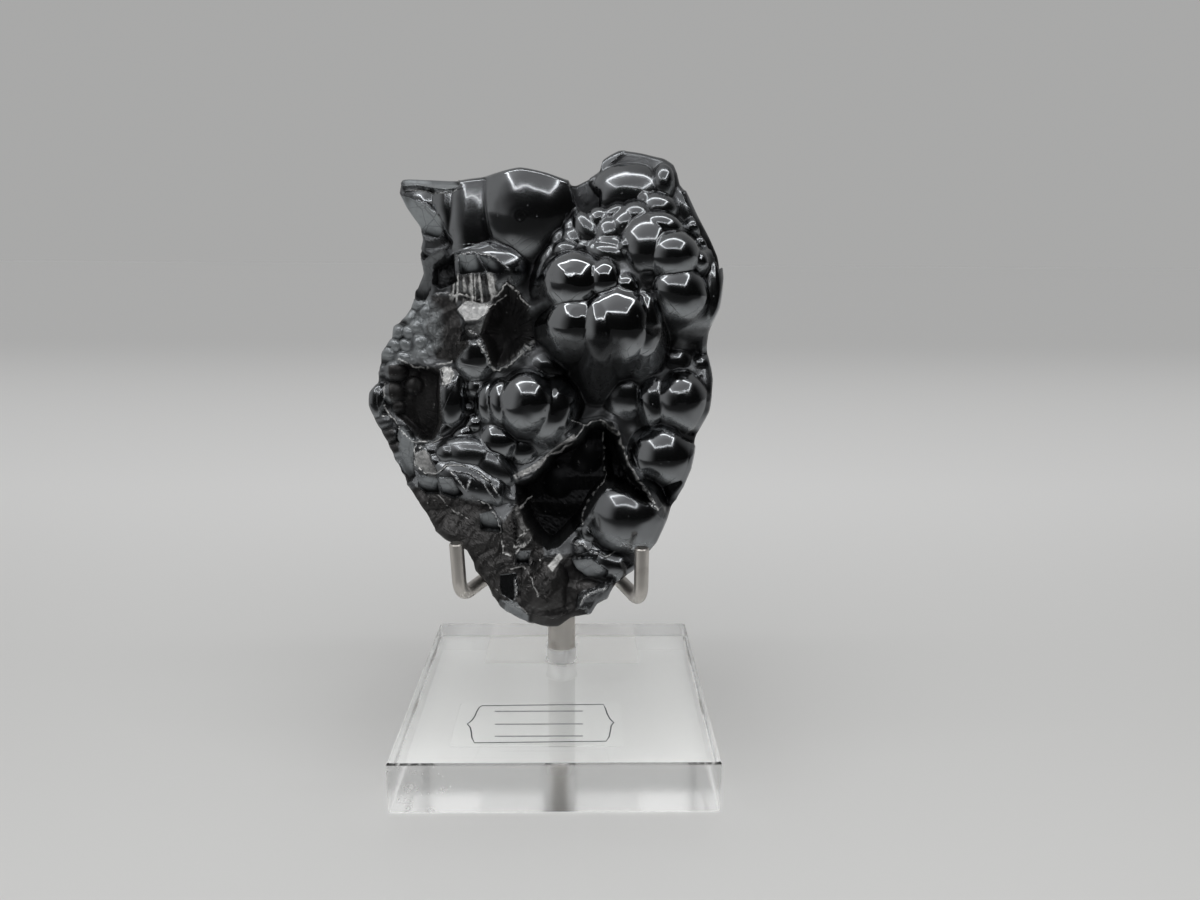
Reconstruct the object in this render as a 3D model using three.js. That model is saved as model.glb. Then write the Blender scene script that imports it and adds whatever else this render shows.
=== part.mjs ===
// Botryoidal hematite on a small display stand: a clear acrylic block, a steel post behind the
// stone and two bent wire arms that carry it. Millimetres, +Z up, +X to the right, the viewer at -Y.
// The origin is the middle of the block's underside.

import * as THREE from 'three';
import { mergeVertices } from 'three/addons/utils/BufferGeometryUtils.js';

// ---------------------------------------------------------------- driving dimensions

const BLOCK = { side: 76.2, height: 12.7, edgeBreak: 0.4, boreRadius: 4.3 };
const POST = { radius: 4.0, y: 23.5, foot: 0.4, top: 96, chamfer: 0.6 };
const WIRE = { radius: 1.6, arcSteps: 4, bend: 4.4, steps: 40, armHeight: 50, tipHeight: 62.7, postGap: 0.3 };
const LEFT_ARM = { rootX: -0.6, bendX: -21.1, bendY: -30.9, lean: -0.6 };
const RIGHT_ARM = { rootX: 0.6, bendX: 19.2, bendY: -33.8, lean: 0 };
const LABEL = { centreX: -4.4, nearY: -31.3, width: 41, depth: 20.5, thickness: 0.15, corner: 1.5 };

// The stone leans back, its own directions are a to the right, b up its face and c out of it.
const STONE = { tipX: 0.3, tipY: -20.1, tipZ: 38.1, lean: THREE.MathUtils.degToRad(12.8) };
const FRONT_CELLS = [44, 56];
const RIM_RINGS = 4;
const CENTRE = [-1, 58];
const FRONT_INSET = 2.0;
const BACK_INSET = 8.5;
const FOOT_TUCK = [22, 50];
const FOOT_HEIGHT = 10;
const TOP_HEIGHT = -0.5;
const FOOT_RISE = [10, 55];
const BODY_OVER_RIM = 1.6;
const BACK_UNDER_RIM = 4;
const WIDEST_RING = 0.4;

// A lobe is a spherical cap, its shoulder runs on down as a straight skirt.
const LOBE_SWELL = 1.08;
const SHOULDER = 0.92;
const SMALLEST_LOBE = 2.2;

const COLOURS = { stone: 0x2b2d31, steel: 0xa9a49b, acrylic: 0xe8edf0, film: 0xf2f2ef };

// ---------------------------------------------------------------- the stone's outline, [a, b]

const LEFT_SIDE = [
  [-28.3, 23.0], [-30.1, 25.9], [-33.1, 30.1], [-36.3, 34.7], [-38.7, 39.4], [-41.3, 44.2],
  [-43.9, 48.5], [-45.8, 52.6], [-45.7, 55.7], [-43.7, 58.4], [-42.8, 65.3], [-40.1, 69.4],
  [-36.8, 74.2], [-34.9, 77.8], [-34.6, 80.7], [-32.7, 84.6], [-33.4, 89.4], [-32.7, 92.7],
  [-33.4, 95.6], [-36.5, 100.2], [-38.2, 103.8],
];
const TOP_SIDE = [
  [-38.2, 103.8], [-37.5, 106.7], [-31.7, 106.7], [-23.3, 106.2], [-16.1, 107.4], [-8.9, 108.5],
  [-2.9, 107.4], [4.3, 105.9], [7.4, 107.4], [10.3, 109.1], [9.8, 111.5], [14.4, 114.0],
  [19.9, 113.4], [25.2, 111.5], [27.4, 110.0], [29.0, 105.5],
];
const RIGHT_SIDE = [
  [23.1, 20.7], [25.2, 25.0], [27.2, 28.9], [29.8, 33.1], [31.6, 37.1], [32.8, 41.8],
  [33.2, 44.9], [36.4, 51.4], [37.4, 59.1], [36.0, 67.5], [36.2, 70.4], [38.2, 75.4],
  [39.1, 82.6], [38.4, 88.6], [36.5, 92.7], [33.4, 98.0], [30.5, 103.5], [29.0, 105.5],
];
const BOTTOM_SIDE = [
  [-28.3, 23.0], [-25.2, 20.7], [-21.2, 18.9], [-18.8, 14.8], [-15.8, 10.6], [-12.8, 6.0],
  [-8.2, 3.2], [-1.7, 1.6], [0.4, 1.6], [3.4, 3.5], [8.0, 4.6], [9.4, 6.7],
  [11.5, 7.9], [13.1, 10.6], [18.2, 14.8], [23.1, 20.7],
];

// ---------------------------------------------------------------- its lobes, [a, b, radius, top]

const WING_AND_GREAT_LOBE = [
  [-7.1, 96.2, 10.9, 9.5], [-25.4, 97.0, 5.2, 5.5], [-20.1, 97.5, 5.2, 6.5], [-31.1, 98.1, 4.7, 4.0],
];
const CROWN = [
  [18.4, 104.1, 8.8, 8.5], [24.7, 105.7, 2.6, 8.5], [21.4, 101.0, 3.0, 9.5], [25.2, 101.3, 2.3, 8.5],
  [12.7, 108.1, 4.3, 3.5], [31.4, 96.9, 5.2, 6.0],
];
const UPPER_RIGHT = [
  [21.7, 90.0, 7.7, 14.0], [22.3, 93.4, 5.2, 15.0], [26.7, 88.2, 4.5, 16.0], [28.4, 79.2, 6.1, 14.5],
  [36.1, 80.2, 3.7, 8.0], [29.8, 73.3, 7.4, 9.0],
];
const BERRIES = [
  [4.1, 92.3, 3.0, 10.5], [12.1, 92.1, 2.5, 12.5], [15.3, 94.0, 2.7, 13.0], [18.5, 95.6, 2.5, 13.0],
  [10.3, 88.3, 2.5, 13.0], [8.5, 87.6, 2.3, 12.0], [12.3, 87.1, 3.0, 13.5],
];
const MOUNDS = [
  [10.0, 76.5, 14.0, 10.5], [26.0, 84.0, 12.0, 8.5], [-5.0, 53.5, 10.5, 5.5], [18.0, 30.0, 11.0, 9.5],
  [-18.0, 33.0, 13.0, 8.5],
];
const PROUD_CLUSTER = [
  [4.0, 80.9, 6.1, 16.5], [10.7, 81.6, 3.8, 16.5], [15.9, 80.0, 2.9, 15.5], [4.2, 71.3, 7.0, 16.0],
  [14.1, 70.6, 8.0, 18.0], [19.3, 73.4, 4.5, 15.5], [19.4, 78.8, 2.7, 13.0],
];
const MIDDLE = [
  [-7.3, 52.6, 6.0, 12.0], [-2.4, 52.2, 7.6, 9.5], [-15.0, 53.5, 4.0, 6.5], [-18.0, 56.9, 4.0, 5.0],
  [-3.3, 62.9, 4.9, 6.5], [7.9, 58.5, 3.3, 1.0], [2.2, 59.5, 2.9, 1.0],
];
const RIGHT_FLANK = [
  [16.7, 55.0, 5.7, 5.0], [21.9, 53.9, 4.0, 8.0], [27.6, 53.8, 6.0, 10.0], [27.2, 63.9, 5.2, 6.0],
  [22.5, 61.6, 2.4, 5.0], [33.9, 63.6, 2.8, 4.0], [26.0, 40.6, 7.2, 9.5], [28.1, 34.3, 5.6, 6.0],
];
const LOW_RIGHT = [
  [15.5, 27.0, 7.8, 15.0], [8.0, 20.7, 4.4, 12.5], [5.2, 22.9, 2.6, 11.0], [11.7, 15.7, 5.6, 13.0],
  [1.0, 16.2, 3.7, 12.0], [17.8, 19.6, 5.2, 16.4],
];
const LEFT_EDGE = [
  [-43.7, 53.9, 2.6, 2.5], [-25.4, 54.9, 6.1, 6.0], [-38.4, 66.5, 2.4, 3.0], [-32.0, 67.6, 2.4, 4.0],
  [-29.4, 71.4, 2.8, 4.0], [-30.8, 80.0, 2.4, 1.5], [-19.1, 66.5, 5.6, 5.5], [-17.4, 84.5, 8.0, 6.0],
];
const LEFT_STEPS = [
  [-21.8, 45.5, 2.6, 6.5], [-13.3, 42.3, 6.1, 4.5], [-19.0, 39.5, 6.3, 8.5], [-22.4, 34.8, 7.0, 7.0],
  [-29.7, 37.1, 6.1, 5.0], [-24.8, 27.8, 8.0, 9.5], [-15.3, 24.3, 6.1, 11.0], [-19.4, 19.4, 6.5, 14.0],
];
const FOOT = [
  [-7.1, 16.4, 5.6, 13.0], [-10.5, 9.4, 5.6, 13.0], [-1.2, 9.5, 6.0, 14.0], [6.8, 9.3, 5.1, 13.0],
  [-3.6, 4.6, 4.6, 12.5],
];
const LOBES = [
  ...WING_AND_GREAT_LOBE, ...CROWN, ...UPPER_RIGHT, ...BERRIES, ...MOUNDS, ...PROUD_CLUSTER,
  ...MIDDLE, ...RIGHT_FLANK, ...LOW_RIGHT, ...LEFT_EDGE, ...LEFT_STEPS, ...FOOT,
].filter(([, , radius]) => radius >= SMALLEST_LOBE);

// ---------------------------------------------------------------- its hollows: rim, floor, wall width

const HOLLOWS = [
  { // the deep open vug with its broken shell edge
    floor: -6, wall: 3.6,
    rim: [
      [-9.1, 34.9], [-6.6, 38.1], [-3.3, 39.5], [-0.8, 42.3], [4.5, 45.0], [6.8, 47.8], [10.3, 49.2],
      [13.5, 47.3], [15.1, 43.9], [16.8, 39.5], [18.8, 35.3], [15.4, 34.4], [11.7, 32.6], [9.0, 29.1],
      [7.4, 25.2], [5.8, 19.9], [2.4, 17.3], [-1.7, 19.2], [-4.9, 23.3], [-8.2, 29.1],
    ],
  },
  { // the broken lobe with its radiating fibres
    floor: 1.2, wall: 3.0,
    rim: [
      [-11.3, 81.9], [-7.5, 78.4], [-4.2, 73.2], [-2.6, 69.5], [-5.2, 65.2], [-9.6, 62.9],
      [-13.6, 60.6], [-16.0, 64.8], [-18.8, 68.3], [-16.9, 72.3], [-14.1, 77.4],
    ],
  },
  { // the pebbly pocket on the left
    floor: 0.2, wall: 2.4,
    rim: [
      [-40.4, 62.6], [-34.7, 63.6], [-30.0, 62.2], [-30.3, 54.8], [-29.6, 47.7], [-32.8, 44.9],
      [-36.6, 47.0], [-38.9, 50.8], [-40.8, 54.8], [-41.3, 59.6],
    ],
  },
];

// Broken faces of the back: c = depth + slopeA * a + slopeB * b, the shallowest one holds.
const BACK_FACES = [
  { depth: -25.5, slopeA: 0.02, slopeB: 0.0 },
  { depth: 2.0, slopeA: 0.06, slopeB: -0.56 },
  { depth: -51.5, slopeA: -0.05, slopeB: 0.38 },
  { depth: -33.0, slopeA: -0.52, slopeB: 0.02 },
  { depth: -34.0, slopeA: 0.58, slopeB: 0.03 },
  { depth: -10.0, slopeA: -0.55, slopeB: -0.42 },
  { depth: -10.5, slopeA: 0.62, slopeB: -0.4 },
  { depth: -56.0, slopeA: -0.34, slopeB: 0.34 },
  { depth: -58.0, slopeA: 0.36, slopeB: 0.38 },
];

// ---------------------------------------------------------------- small helpers

const smoothstep = THREE.MathUtils.smoothstep;
const lerp = THREE.MathUtils.lerp;

/** The point at share t of a polyline's own length. */
function along(points, t) {
  const lengths = [0];
  for (let i = 1; i < points.length; i += 1) {
    const step = Math.hypot(points[i][0] - points[i - 1][0], points[i][1] - points[i - 1][1]);
    lengths.push(lengths[i - 1] + step);
  }
  const target = t * lengths[lengths.length - 1];
  let i = 1;
  while (i < points.length - 1 && lengths[i] < target) i += 1;
  const share = (target - lengths[i - 1]) / (lengths[i] - lengths[i - 1]);
  return [lerp(points[i - 1][0], points[i][0], share), lerp(points[i - 1][1], points[i][1], share)];
}

/** Distance to a closed outline, positive inside it. */
function depthInside(a, b, rim) {
  let nearest = Infinity;
  let inside = false;
  for (let i = 0, j = rim.length - 1; i < rim.length; j = i, i += 1) {
    const [x0, y0] = rim[j];
    const [x1, y1] = rim[i];
    const span = (x1 - x0) ** 2 + (y1 - y0) ** 2;
    const share = THREE.MathUtils.clamp(((a - x0) * (x1 - x0) + (b - y0) * (y1 - y0)) / span, 0, 1);
    nearest = Math.min(nearest, Math.hypot(a - lerp(x0, x1, share), b - lerp(y0, y1, share)));
    if ((y0 > b) !== (y1 > b) && a < x0 + ((b - y0) / (y1 - y0)) * (x1 - x0)) inside = !inside;
  }
  return inside ? nearest : -nearest;
}

/** Moves a point of the face towards its middle by a distance. */
function inset([a, b], distance) {
  const reach = Math.hypot(a - CENTRE[0], b - CENTRE[1]);
  const share = 1 - distance / reach;
  return [lerp(CENTRE[0], a, share), lerp(CENTRE[1], b, share)];
}

/** A patch inside four sides that share their corners (a Coons patch), each side inset. */
function patchPoint(u, v, distance) {
  const [left, right] = [inset(along(LEFT_SIDE, v), distance), inset(along(RIGHT_SIDE, v), distance)];
  const [low, high] = [inset(along(BOTTOM_SIDE, u), distance), inset(along(TOP_SIDE, u), distance)];
  const corners = [LEFT_SIDE[0], RIGHT_SIDE[0], LEFT_SIDE.at(-1), RIGHT_SIDE.at(-1)];
  const [lowLeft, lowRight, highLeft, highRight] = corners.map((corner) => inset(corner, distance));
  return [0, 1].map((k) => (
    lerp(left[k], right[k], u) + lerp(low[k], high[k], v)
    - lerp(lerp(lowLeft[k], lowRight[k], u), lerp(highLeft[k], highRight[k], u), v)
  ));
}

// ---------------------------------------------------------------- heights of the stone's two faces

/** Height of the widest ring: the foot of the stone lies further forward than its top. */
function rimHeight(b) {
  return lerp(FOOT_HEIGHT, TOP_HEIGHT, smoothstep(b, ...FOOT_RISE));
}

/** Height of one lobe at a point: a spherical cap with a straight skirt. */
function lobeHeight(a, b, [lobeA, lobeB, radius, top]) {
  const ball = radius * LOBE_SWELL;
  const shoulder = ball * SHOULDER;
  const drop = Math.sqrt(ball ** 2 - shoulder ** 2);
  const away = Math.hypot(a - lobeA, b - lobeB);
  if (away < shoulder) return top - ball + Math.sqrt(ball ** 2 - away ** 2);
  return top - ball + drop - (away - shoulder) * (shoulder / drop);
}

/** Height of the front: the highest lobe over a low body, less the hollows. */
function frontHeight(a, b) {
  let height = rimHeight(b) + BODY_OVER_RIM;
  for (const lobe of LOBES) height = Math.max(height, lobeHeight(a, b, lobe));
  for (const { rim, floor, wall } of HOLLOWS) {
    const sunk = smoothstep(depthInside(a, b, rim), 0, wall);
    if (sunk > 0) height = Math.min(height, lerp(height, floor, sunk));
  }
  return height;
}

/** Height of the back: the shallowest of its broken faces. */
function backHeight(a, b) {
  const faces = BACK_FACES.map(({ depth, slopeA, slopeB }) => depth + slopeA * a + slopeB * b);
  return Math.min(Math.max(...faces), rimHeight(b) - BACK_UNDER_RIM);
}

// ---------------------------------------------------------------- the stone's skin

/** Collects points and triangles of one closed skin. */
class Skin {
  constructor() {
    this.points = [];
    this.triangles = [];
  }

  point(a, b, c) {
    this.points.push(a, b, c);
    return this.points.length / 3 - 1;
  }

  triangle(p, q, r) {
    this.triangles.push(p, q, r);
  }

  distance(p, q) {
    return Math.hypot(...[0, 1, 2].map((k) => this.points[3 * p + k] - this.points[3 * q + k]));
  }

  /** Four corners in turn, cut along the shorter diagonal. */
  quad(p, q, r, s) {
    if (this.distance(p, r) <= this.distance(q, s)) {
      this.triangle(p, q, r);
      this.triangle(p, r, s);
    } else {
      this.triangle(p, q, s);
      this.triangle(q, r, s);
    }
  }

  geometry() {
    const geometry = new THREE.BufferGeometry();
    geometry.setAttribute('position', new THREE.Float32BufferAttribute(this.points, 3));
    geometry.setIndex(this.triangles);
    return geometry;
  }
}

/** A grid of points over the face, columns by rows. */
function faceGrid(skin, [columns, rows], distance, height) {
  const grid = [];
  for (let i = 0; i <= columns; i += 1) {
    const column = [];
    for (let j = 0; j <= rows; j += 1) {
      const [a, b] = patchPoint(i / columns, j / rows, distance);
      column.push(skin.point(a, b, height(a, b)));
    }
    grid.push(column);
  }
  return grid;
}

/** The grid's border, once round, anticlockwise as seen from the front. */
function border(grid) {
  const [columns, rows] = [grid.length - 1, grid[0].length - 1];
  const loop = [];
  for (let i = 0; i < columns; i += 1) loop.push(grid[i][0]);
  for (let j = 0; j < rows; j += 1) loop.push(grid[columns][j]);
  for (let i = columns; i > 0; i -= 1) loop.push(grid[i][rows]);
  for (let j = rows; j > 0; j -= 1) loop.push(grid[0][j]);
  return loop;
}

/** One ring of the rim: a quarter ellipse out to the widest ring, then another one to the back. */
function rimRing(skin, front, back, share) {
  const outward = share < WIDEST_RING;
  const turn = outward ? share / WIDEST_RING : (share - WIDEST_RING) / (1 - WIDEST_RING);
  const angle = (Math.PI / 2) * turn;
  return front.map((corner, m) => {
    const [a, b, c] = skin.points.slice(3 * corner, 3 * corner + 3);
    const backHeightHere = skin.points[3 * back[m] + 2];
    const middle = rimHeight(b);
    const round = 1 - Math.cos(angle);
    const tucked = lerp(Math.sin(angle), round, smoothstep(b, ...FOOT_TUCK));
    const depth = outward ? FRONT_INSET * (1 - Math.sin(angle)) : BACK_INSET * tucked;
    const height = outward
      ? middle + (c - middle) * Math.cos(angle)
      : middle + (backHeightHere - middle) * Math.sin(angle);
    const [ringA, ringB] = inset([a, b], depth - FRONT_INSET);
    return skin.point(ringA, ringB, height);
  });
}

function joinGrid(skin, grid, facesFront) {
  for (let i = 1; i < grid.length; i += 1) {
    for (let j = 1; j < grid[i].length; j += 1) {
      const corners = [grid[i - 1][j - 1], grid[i][j - 1], grid[i][j], grid[i - 1][j]];
      skin.quad(...(facesFront ? corners : corners.reverse()));
    }
  }
}

function joinRings(skin, front, back) {
  front.forEach((corner, m) => {
    const next = (m + 1) % front.length;
    skin.quad(corner, back[m], back[next], front[next]);
  });
}

/** Joins a ring to one of half as many points: three triangles for each two steps. */
function joinHalved(skin, fine, coarse) {
  coarse.forEach((corner, m) => {
    const next = coarse[(m + 1) % coarse.length];
    const [first, middle, last] = [0, 1, 2].map((k) => fine[(2 * m + k) % fine.length]);
    skin.triangle(first, corner, middle);
    skin.triangle(middle, corner, next);
    skin.triangle(middle, next, last);
  });
}

function stoneGeometry() {
  const skin = new Skin();
  const front = faceGrid(skin, FRONT_CELLS, FRONT_INSET, frontHeight);
  const back = faceGrid(skin, FRONT_CELLS.map((cells) => cells / 2), BACK_INSET, backHeight);
  joinGrid(skin, front, true);
  joinGrid(skin, back, false);
  const frontRing = border(front);
  const backRing = border(back);
  const backOfEach = frontRing.map((_, m) => backRing[Math.floor(m / 2)]);
  let ring = frontRing;
  for (let k = 1; k < RIM_RINGS; k += 1) {
    const next = rimRing(skin, frontRing, backOfEach, k / RIM_RINGS);
    joinRings(skin, ring, next);
    ring = next;
  }
  joinHalved(skin, ring, backRing);
  return skin.geometry();
}

// ---------------------------------------------------------------- the stand

function blockGeometry() {
  const half = BLOCK.side / 2 - BLOCK.edgeBreak;
  const outline = new THREE.Shape();
  outline.moveTo(-half, -half);
  outline.lineTo(half, -half);
  outline.lineTo(half, half);
  outline.lineTo(-half, half);
  outline.closePath();
  const bore = new THREE.Path();
  bore.absarc(0, POST.y, BLOCK.boreRadius + BLOCK.edgeBreak, 0, 2 * Math.PI, true);
  outline.holes.push(bore);
  const geometry = new THREE.ExtrudeGeometry(outline, {
    depth: BLOCK.height - 2 * BLOCK.edgeBreak,
    bevelSize: BLOCK.edgeBreak,
    bevelThickness: BLOCK.edgeBreak,
    bevelSegments: 1,
    curveSegments: 12,
  });
  return geometry.translate(0, 0, BLOCK.edgeBreak);
}

function postGeometry() {
  const profile = [
    [0, POST.foot],
    [POST.radius - POST.chamfer, POST.foot],
    [POST.radius, POST.foot + POST.chamfer],
    [POST.radius, POST.top - POST.chamfer],
    [POST.radius - POST.chamfer, POST.top],
    [0, POST.top],
  ].map(([radius, height]) => new THREE.Vector2(radius, height));
  return new THREE.LatheGeometry(profile, 24).rotateX(Math.PI / 2);
}

/** A wire from the post to the bend, then up to the tip that holds the stone in front. */
function armGeometry({ rootX, bendX, bendY, lean }) {
  const centre = new THREE.Vector3(rootX, POST.y, WIRE.armHeight);
  const corner = new THREE.Vector3(bendX, bendY, WIRE.armHeight);
  const outward = corner.clone().sub(centre).normalize();
  const tip = new THREE.Vector3(bendX + lean, bendY, WIRE.tipHeight);
  const upward = tip.clone().sub(corner).normalize();
  const root = centre.clone().addScaledVector(outward, POST.radius + WIRE.postGap);
  const bendStart = corner.clone().addScaledVector(outward, -WIRE.bend);
  const bendEnd = corner.clone().addScaledVector(upward, WIRE.bend);
  const path = new THREE.CurvePath();
  path.add(new THREE.LineCurve3(root, bendStart));
  path.add(new THREE.QuadraticBezierCurve3(bendStart, corner, bendEnd));
  path.add(new THREE.LineCurve3(bendEnd, tip));
  const section = new THREE.Shape();
  section.absarc(0, 0, WIRE.radius, 0, 2 * Math.PI);
  return new THREE.ExtrudeGeometry(section, {
    steps: WIRE.steps,
    curveSegments: WIRE.arcSteps,
    extrudePath: path,
  });
}

function labelGeometry() {
  const { width, depth, corner, thickness } = LABEL;
  const [halfWidth, halfDepth] = [width / 2, depth / 2];
  const outline = new THREE.Shape();
  outline.absarc(halfWidth - corner, halfDepth - corner, corner, 0, Math.PI / 2);
  outline.absarc(corner - halfWidth, halfDepth - corner, corner, Math.PI / 2, Math.PI);
  outline.absarc(corner - halfWidth, corner - halfDepth, corner, Math.PI, 1.5 * Math.PI);
  outline.absarc(halfWidth - corner, corner - halfDepth, corner, 1.5 * Math.PI, 2 * Math.PI);
  return new THREE.ExtrudeGeometry(outline, { depth: thickness, bevelEnabled: false, curveSegments: 2 });
}

// ---------------------------------------------------------------- the scene graph

/** A named mesh with its shared corners merged, so that each piece is one closed body. */
function piece(name, geometry, color, roughness, metalness, opacity = 1) {
  geometry.deleteAttribute('normal');
  geometry.deleteAttribute('uv');
  const closed = mergeVertices(geometry, 1e-4);
  closed.computeVertexNormals();
  const finish = { color, roughness, metalness, opacity, transparent: opacity < 1 };
  const mesh = new THREE.Mesh(closed, new THREE.MeshStandardMaterial(finish));
  mesh.name = name;
  return mesh;
}

const block = piece('acrylic_base', blockGeometry(), COLOURS.acrylic, 0.05, 0, 0.35);
const post = piece('post', postGeometry(), COLOURS.steel, 0.35, 1);
post.position.set(0, POST.y, 0);
const leftProng = piece('left_prong', armGeometry(LEFT_ARM), COLOURS.steel, 0.35, 1);
const rightProng = piece('right_prong', armGeometry(RIGHT_ARM), COLOURS.steel, 0.35, 1);

const label = piece('label', labelGeometry(), COLOURS.film, 0.3, 0, 0.35);
label.position.set(LABEL.centreX, LABEL.nearY + LABEL.depth / 2, BLOCK.height);

// In the stone's own directions b is up and c towards the viewer, so its group turns c to -Y
// and then leans back about X.
const hematite = piece('hematite', stoneGeometry(), COLOURS.stone, 0.15, 0.9);
const leaning = new THREE.Group();
leaning.position.set(STONE.tipX, STONE.tipY, STONE.tipZ);
leaning.rotation.x = Math.PI / 2 - STONE.lean;
leaning.add(hematite);

const specimen = new THREE.Group();
specimen.add(block, post, leftProng, rightProng, label, leaning);

export default specimen;
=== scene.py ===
"""Looks of a botryoidal hematite specimen on its clear block stand.

Every shape is a surface of two parameters worked out with numpy as whole arrays, in the frame of
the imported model. Shapes are in millimetres until a mesh is written, which is in metres. Materials
read places in metres.
"""

import logging
import math
from collections.abc import Callable
from dataclasses import dataclass, field, replace
from enum import Enum
from functools import cache, cached_property

import bpy
import numpy as np
from mathutils import Matrix


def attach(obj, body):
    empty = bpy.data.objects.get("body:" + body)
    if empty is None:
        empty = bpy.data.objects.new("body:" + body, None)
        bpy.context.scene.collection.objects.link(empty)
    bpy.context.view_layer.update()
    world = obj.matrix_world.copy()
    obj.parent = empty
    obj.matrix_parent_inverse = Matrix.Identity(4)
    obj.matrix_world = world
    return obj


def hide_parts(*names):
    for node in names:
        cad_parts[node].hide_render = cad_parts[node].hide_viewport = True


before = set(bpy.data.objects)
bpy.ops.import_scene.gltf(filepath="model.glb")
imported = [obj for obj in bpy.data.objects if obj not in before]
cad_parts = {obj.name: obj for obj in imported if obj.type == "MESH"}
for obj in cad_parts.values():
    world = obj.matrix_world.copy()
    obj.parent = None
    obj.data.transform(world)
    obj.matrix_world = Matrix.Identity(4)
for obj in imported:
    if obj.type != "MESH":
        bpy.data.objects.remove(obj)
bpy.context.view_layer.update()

LOG = logging.getLogger("specimen")
MM = 0.001
BODY = "root"

# Weights of column, row and seed under the lattice sine, and the gain that scatters its fraction.
LATTICE_WEIGHTS = (127.1, 311.7, 74.7)
LATTICE_GAIN = 43758.5453

# Chips: turn in radians for each seed, bend and size of the bends as shares of the chips' size.
CHIP_TURN = 2.4
CHIP_BEND = 0.45
CHIP_BEND_SIZE = 1.7

# Lattice of equal triangles: how a row is shifted and how its height is stretched.
ROW_SHIFT = 0.57735
ROW_STRETCH = 1.1547

Array = np.ndarray
Place = tuple[float, float]
Span = tuple[float, float]
Outline = tuple[Place, ...]
Triple = tuple[float, float, float]
Colour = tuple[float, float, float]
LobeRow = tuple[float, float, float, float, float, float]
Layers = tuple[tuple[float, float, int], ...]
Material = bpy.types.Material
Mesh = bpy.types.Mesh
Object = bpy.types.Object
Socket = bpy.types.NodeSocket
Value = Socket | float | Colour


class Slot(Enum):
    """Names of the material slots of the record. Nothing in this script reads them."""

    STONE = "hematite"
    ACRYLIC = "clear_acrylic"
    STEEL = "brushed_steel"
    FILM = "label_film"


class Mark(Enum):
    """Kinds of surface that are written on the points of the stone, with painted light among them.

    All but the grain go from 0 to 1. The grain is a place across the fibres, in millimetres.
    The silvery mark holds silvery breaks and painted glints and highlights, the crazing mark holds
    crazing and a painted floor reflection on slopes that face down, and the last mark is painted
    shade in shut in places.
    """

    BROKEN = "broken"
    PALE = "pale"
    # silvery breaks, with painted glints and a painted highlight on lip crests
    SILVER_AND_GLINT = "silver_and_glint"
    # crazing, with a painted floor reflection on slopes that face down
    CRAZED_AND_PAINTED_REFLECTION = "crazed_and_painted_reflection"
    SATIN = "satin"
    GRAIN = "grain"
    # painted shade in creases, hollows and on steep slopes
    PAINTED_SHADE = "painted_shade"


Marks = dict[Mark, Array]
Readings = dict[Mark, Socket]


# ------------------------------------------------------------------ array helpers


def lerp(low: Array | float, high: Array | float, share: Array | float) -> Array:
    """Straight blend from low to high by share."""
    return low + (high - low) * share


def smooth(value: Array, low: float, high: float) -> Array:
    """Smooth step: 0 below low, 1 above high, 3t^2 - 2t^3 between."""
    t = np.clip((value - low) / (high - low), 0.0, 1.0)
    return t * t * (3.0 - 2.0 * t)


def soft_max(first: Array, second: Array, blend: float) -> Array:
    """The larger of two heights, with the corner between them rounded.

    Where the heights differ by less than blend, (blend - difference)^2 / (4 blend) is added.
    """
    near = np.maximum(blend - np.abs(first - second), 0.0)
    return np.maximum(first, second) + near * near / (4.0 * blend)


def lattice_value(column: Array, row: Array, seed: int) -> Array:
    """A repeatable value from -1 to 1 for each lattice point.

    The fraction of a large sine of a weighted sum of column, row and seed.
    """
    of_column, of_row, of_seed = LATTICE_WEIGHTS
    mixed = np.sin(column * of_column + row * of_row + seed * of_seed) * LATTICE_GAIN
    return 2.0 * (mixed - np.floor(mixed)) - 1.0


def rolling(x: Array, y: Array, size: float, seed: int) -> Array:
    """Soft rolling heights from -1 to 1: lattice values on squares of size, smoothly blended."""
    u, v = x / size, y / size
    column, row = np.floor(u), np.floor(v)
    s, t = smooth(u - column, 0.0, 1.0), smooth(v - row, 0.0, 1.0)
    low = lerp(lattice_value(column, row, seed), lattice_value(column + 1, row, seed), s)
    high = lerp(lattice_value(column, row + 1, seed), lattice_value(column + 1, row + 1, seed), s)
    return lerp(low, high, t)


def chipped(x: Array, y: Array, size: float, seed: int) -> Array:
    """Flat chips that meet in sharp edges.

    The plane is turned by an angle of the seed's own and bent a little, then skewed into
    triangles. Each corner takes a lattice value, and inside a triangle the height is the flat
    blend of the three.

    Args:
        x: places along the first direction.
        y: places along the second.
        size: side of the triangles.
        seed: number that tells one ground from another.

    Returns:
        Heights from -1 to 1.
    """
    turn = CHIP_TURN * seed
    x, y = x * math.cos(turn) - y * math.sin(turn), x * math.sin(turn) + y * math.cos(turn)
    bend, bend_size = CHIP_BEND * size, CHIP_BEND_SIZE * size
    bent_x = x + bend * rolling(x, y, bend_size, seed + 11)
    bent_y = y + bend * rolling(x, y, bend_size, seed + 23)
    u = (bent_x + bent_y * ROW_SHIFT) / size
    v = bent_y * ROW_STRETCH / size
    column, row = np.floor(u), np.floor(v)
    s, t = u - column, v - row
    in_upper = s + t > 1.0
    upper = in_upper.astype(float)
    first = lattice_value(column + 1.0, row, seed)
    second = lattice_value(column, row + 1.0, seed)
    third = lattice_value(column + upper, row + upper, seed)
    first_share = np.where(in_upper, 1.0 - t, s)
    second_share = np.where(in_upper, 1.0 - s, t)
    return first * first_share + second * second_share + third * (1.0 - first_share - second_share)


def layered(shape: Callable[..., Array], x: Array, y: Array, layers: Layers) -> Array:
    """Adds up layers of rolling or chipped ground, each with its height, size and seed."""
    total = np.zeros(x.shape)
    for height, size, seed in layers:
        total = total + height * shape(x, y, size, seed)
    return total


def lengths(places: Array) -> Array:
    """Distance along a row of places (n, 2) from its start."""
    return np.concatenate([[0.0], np.cumsum(np.hypot(*np.diff(places, axis=0).T))])


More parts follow.
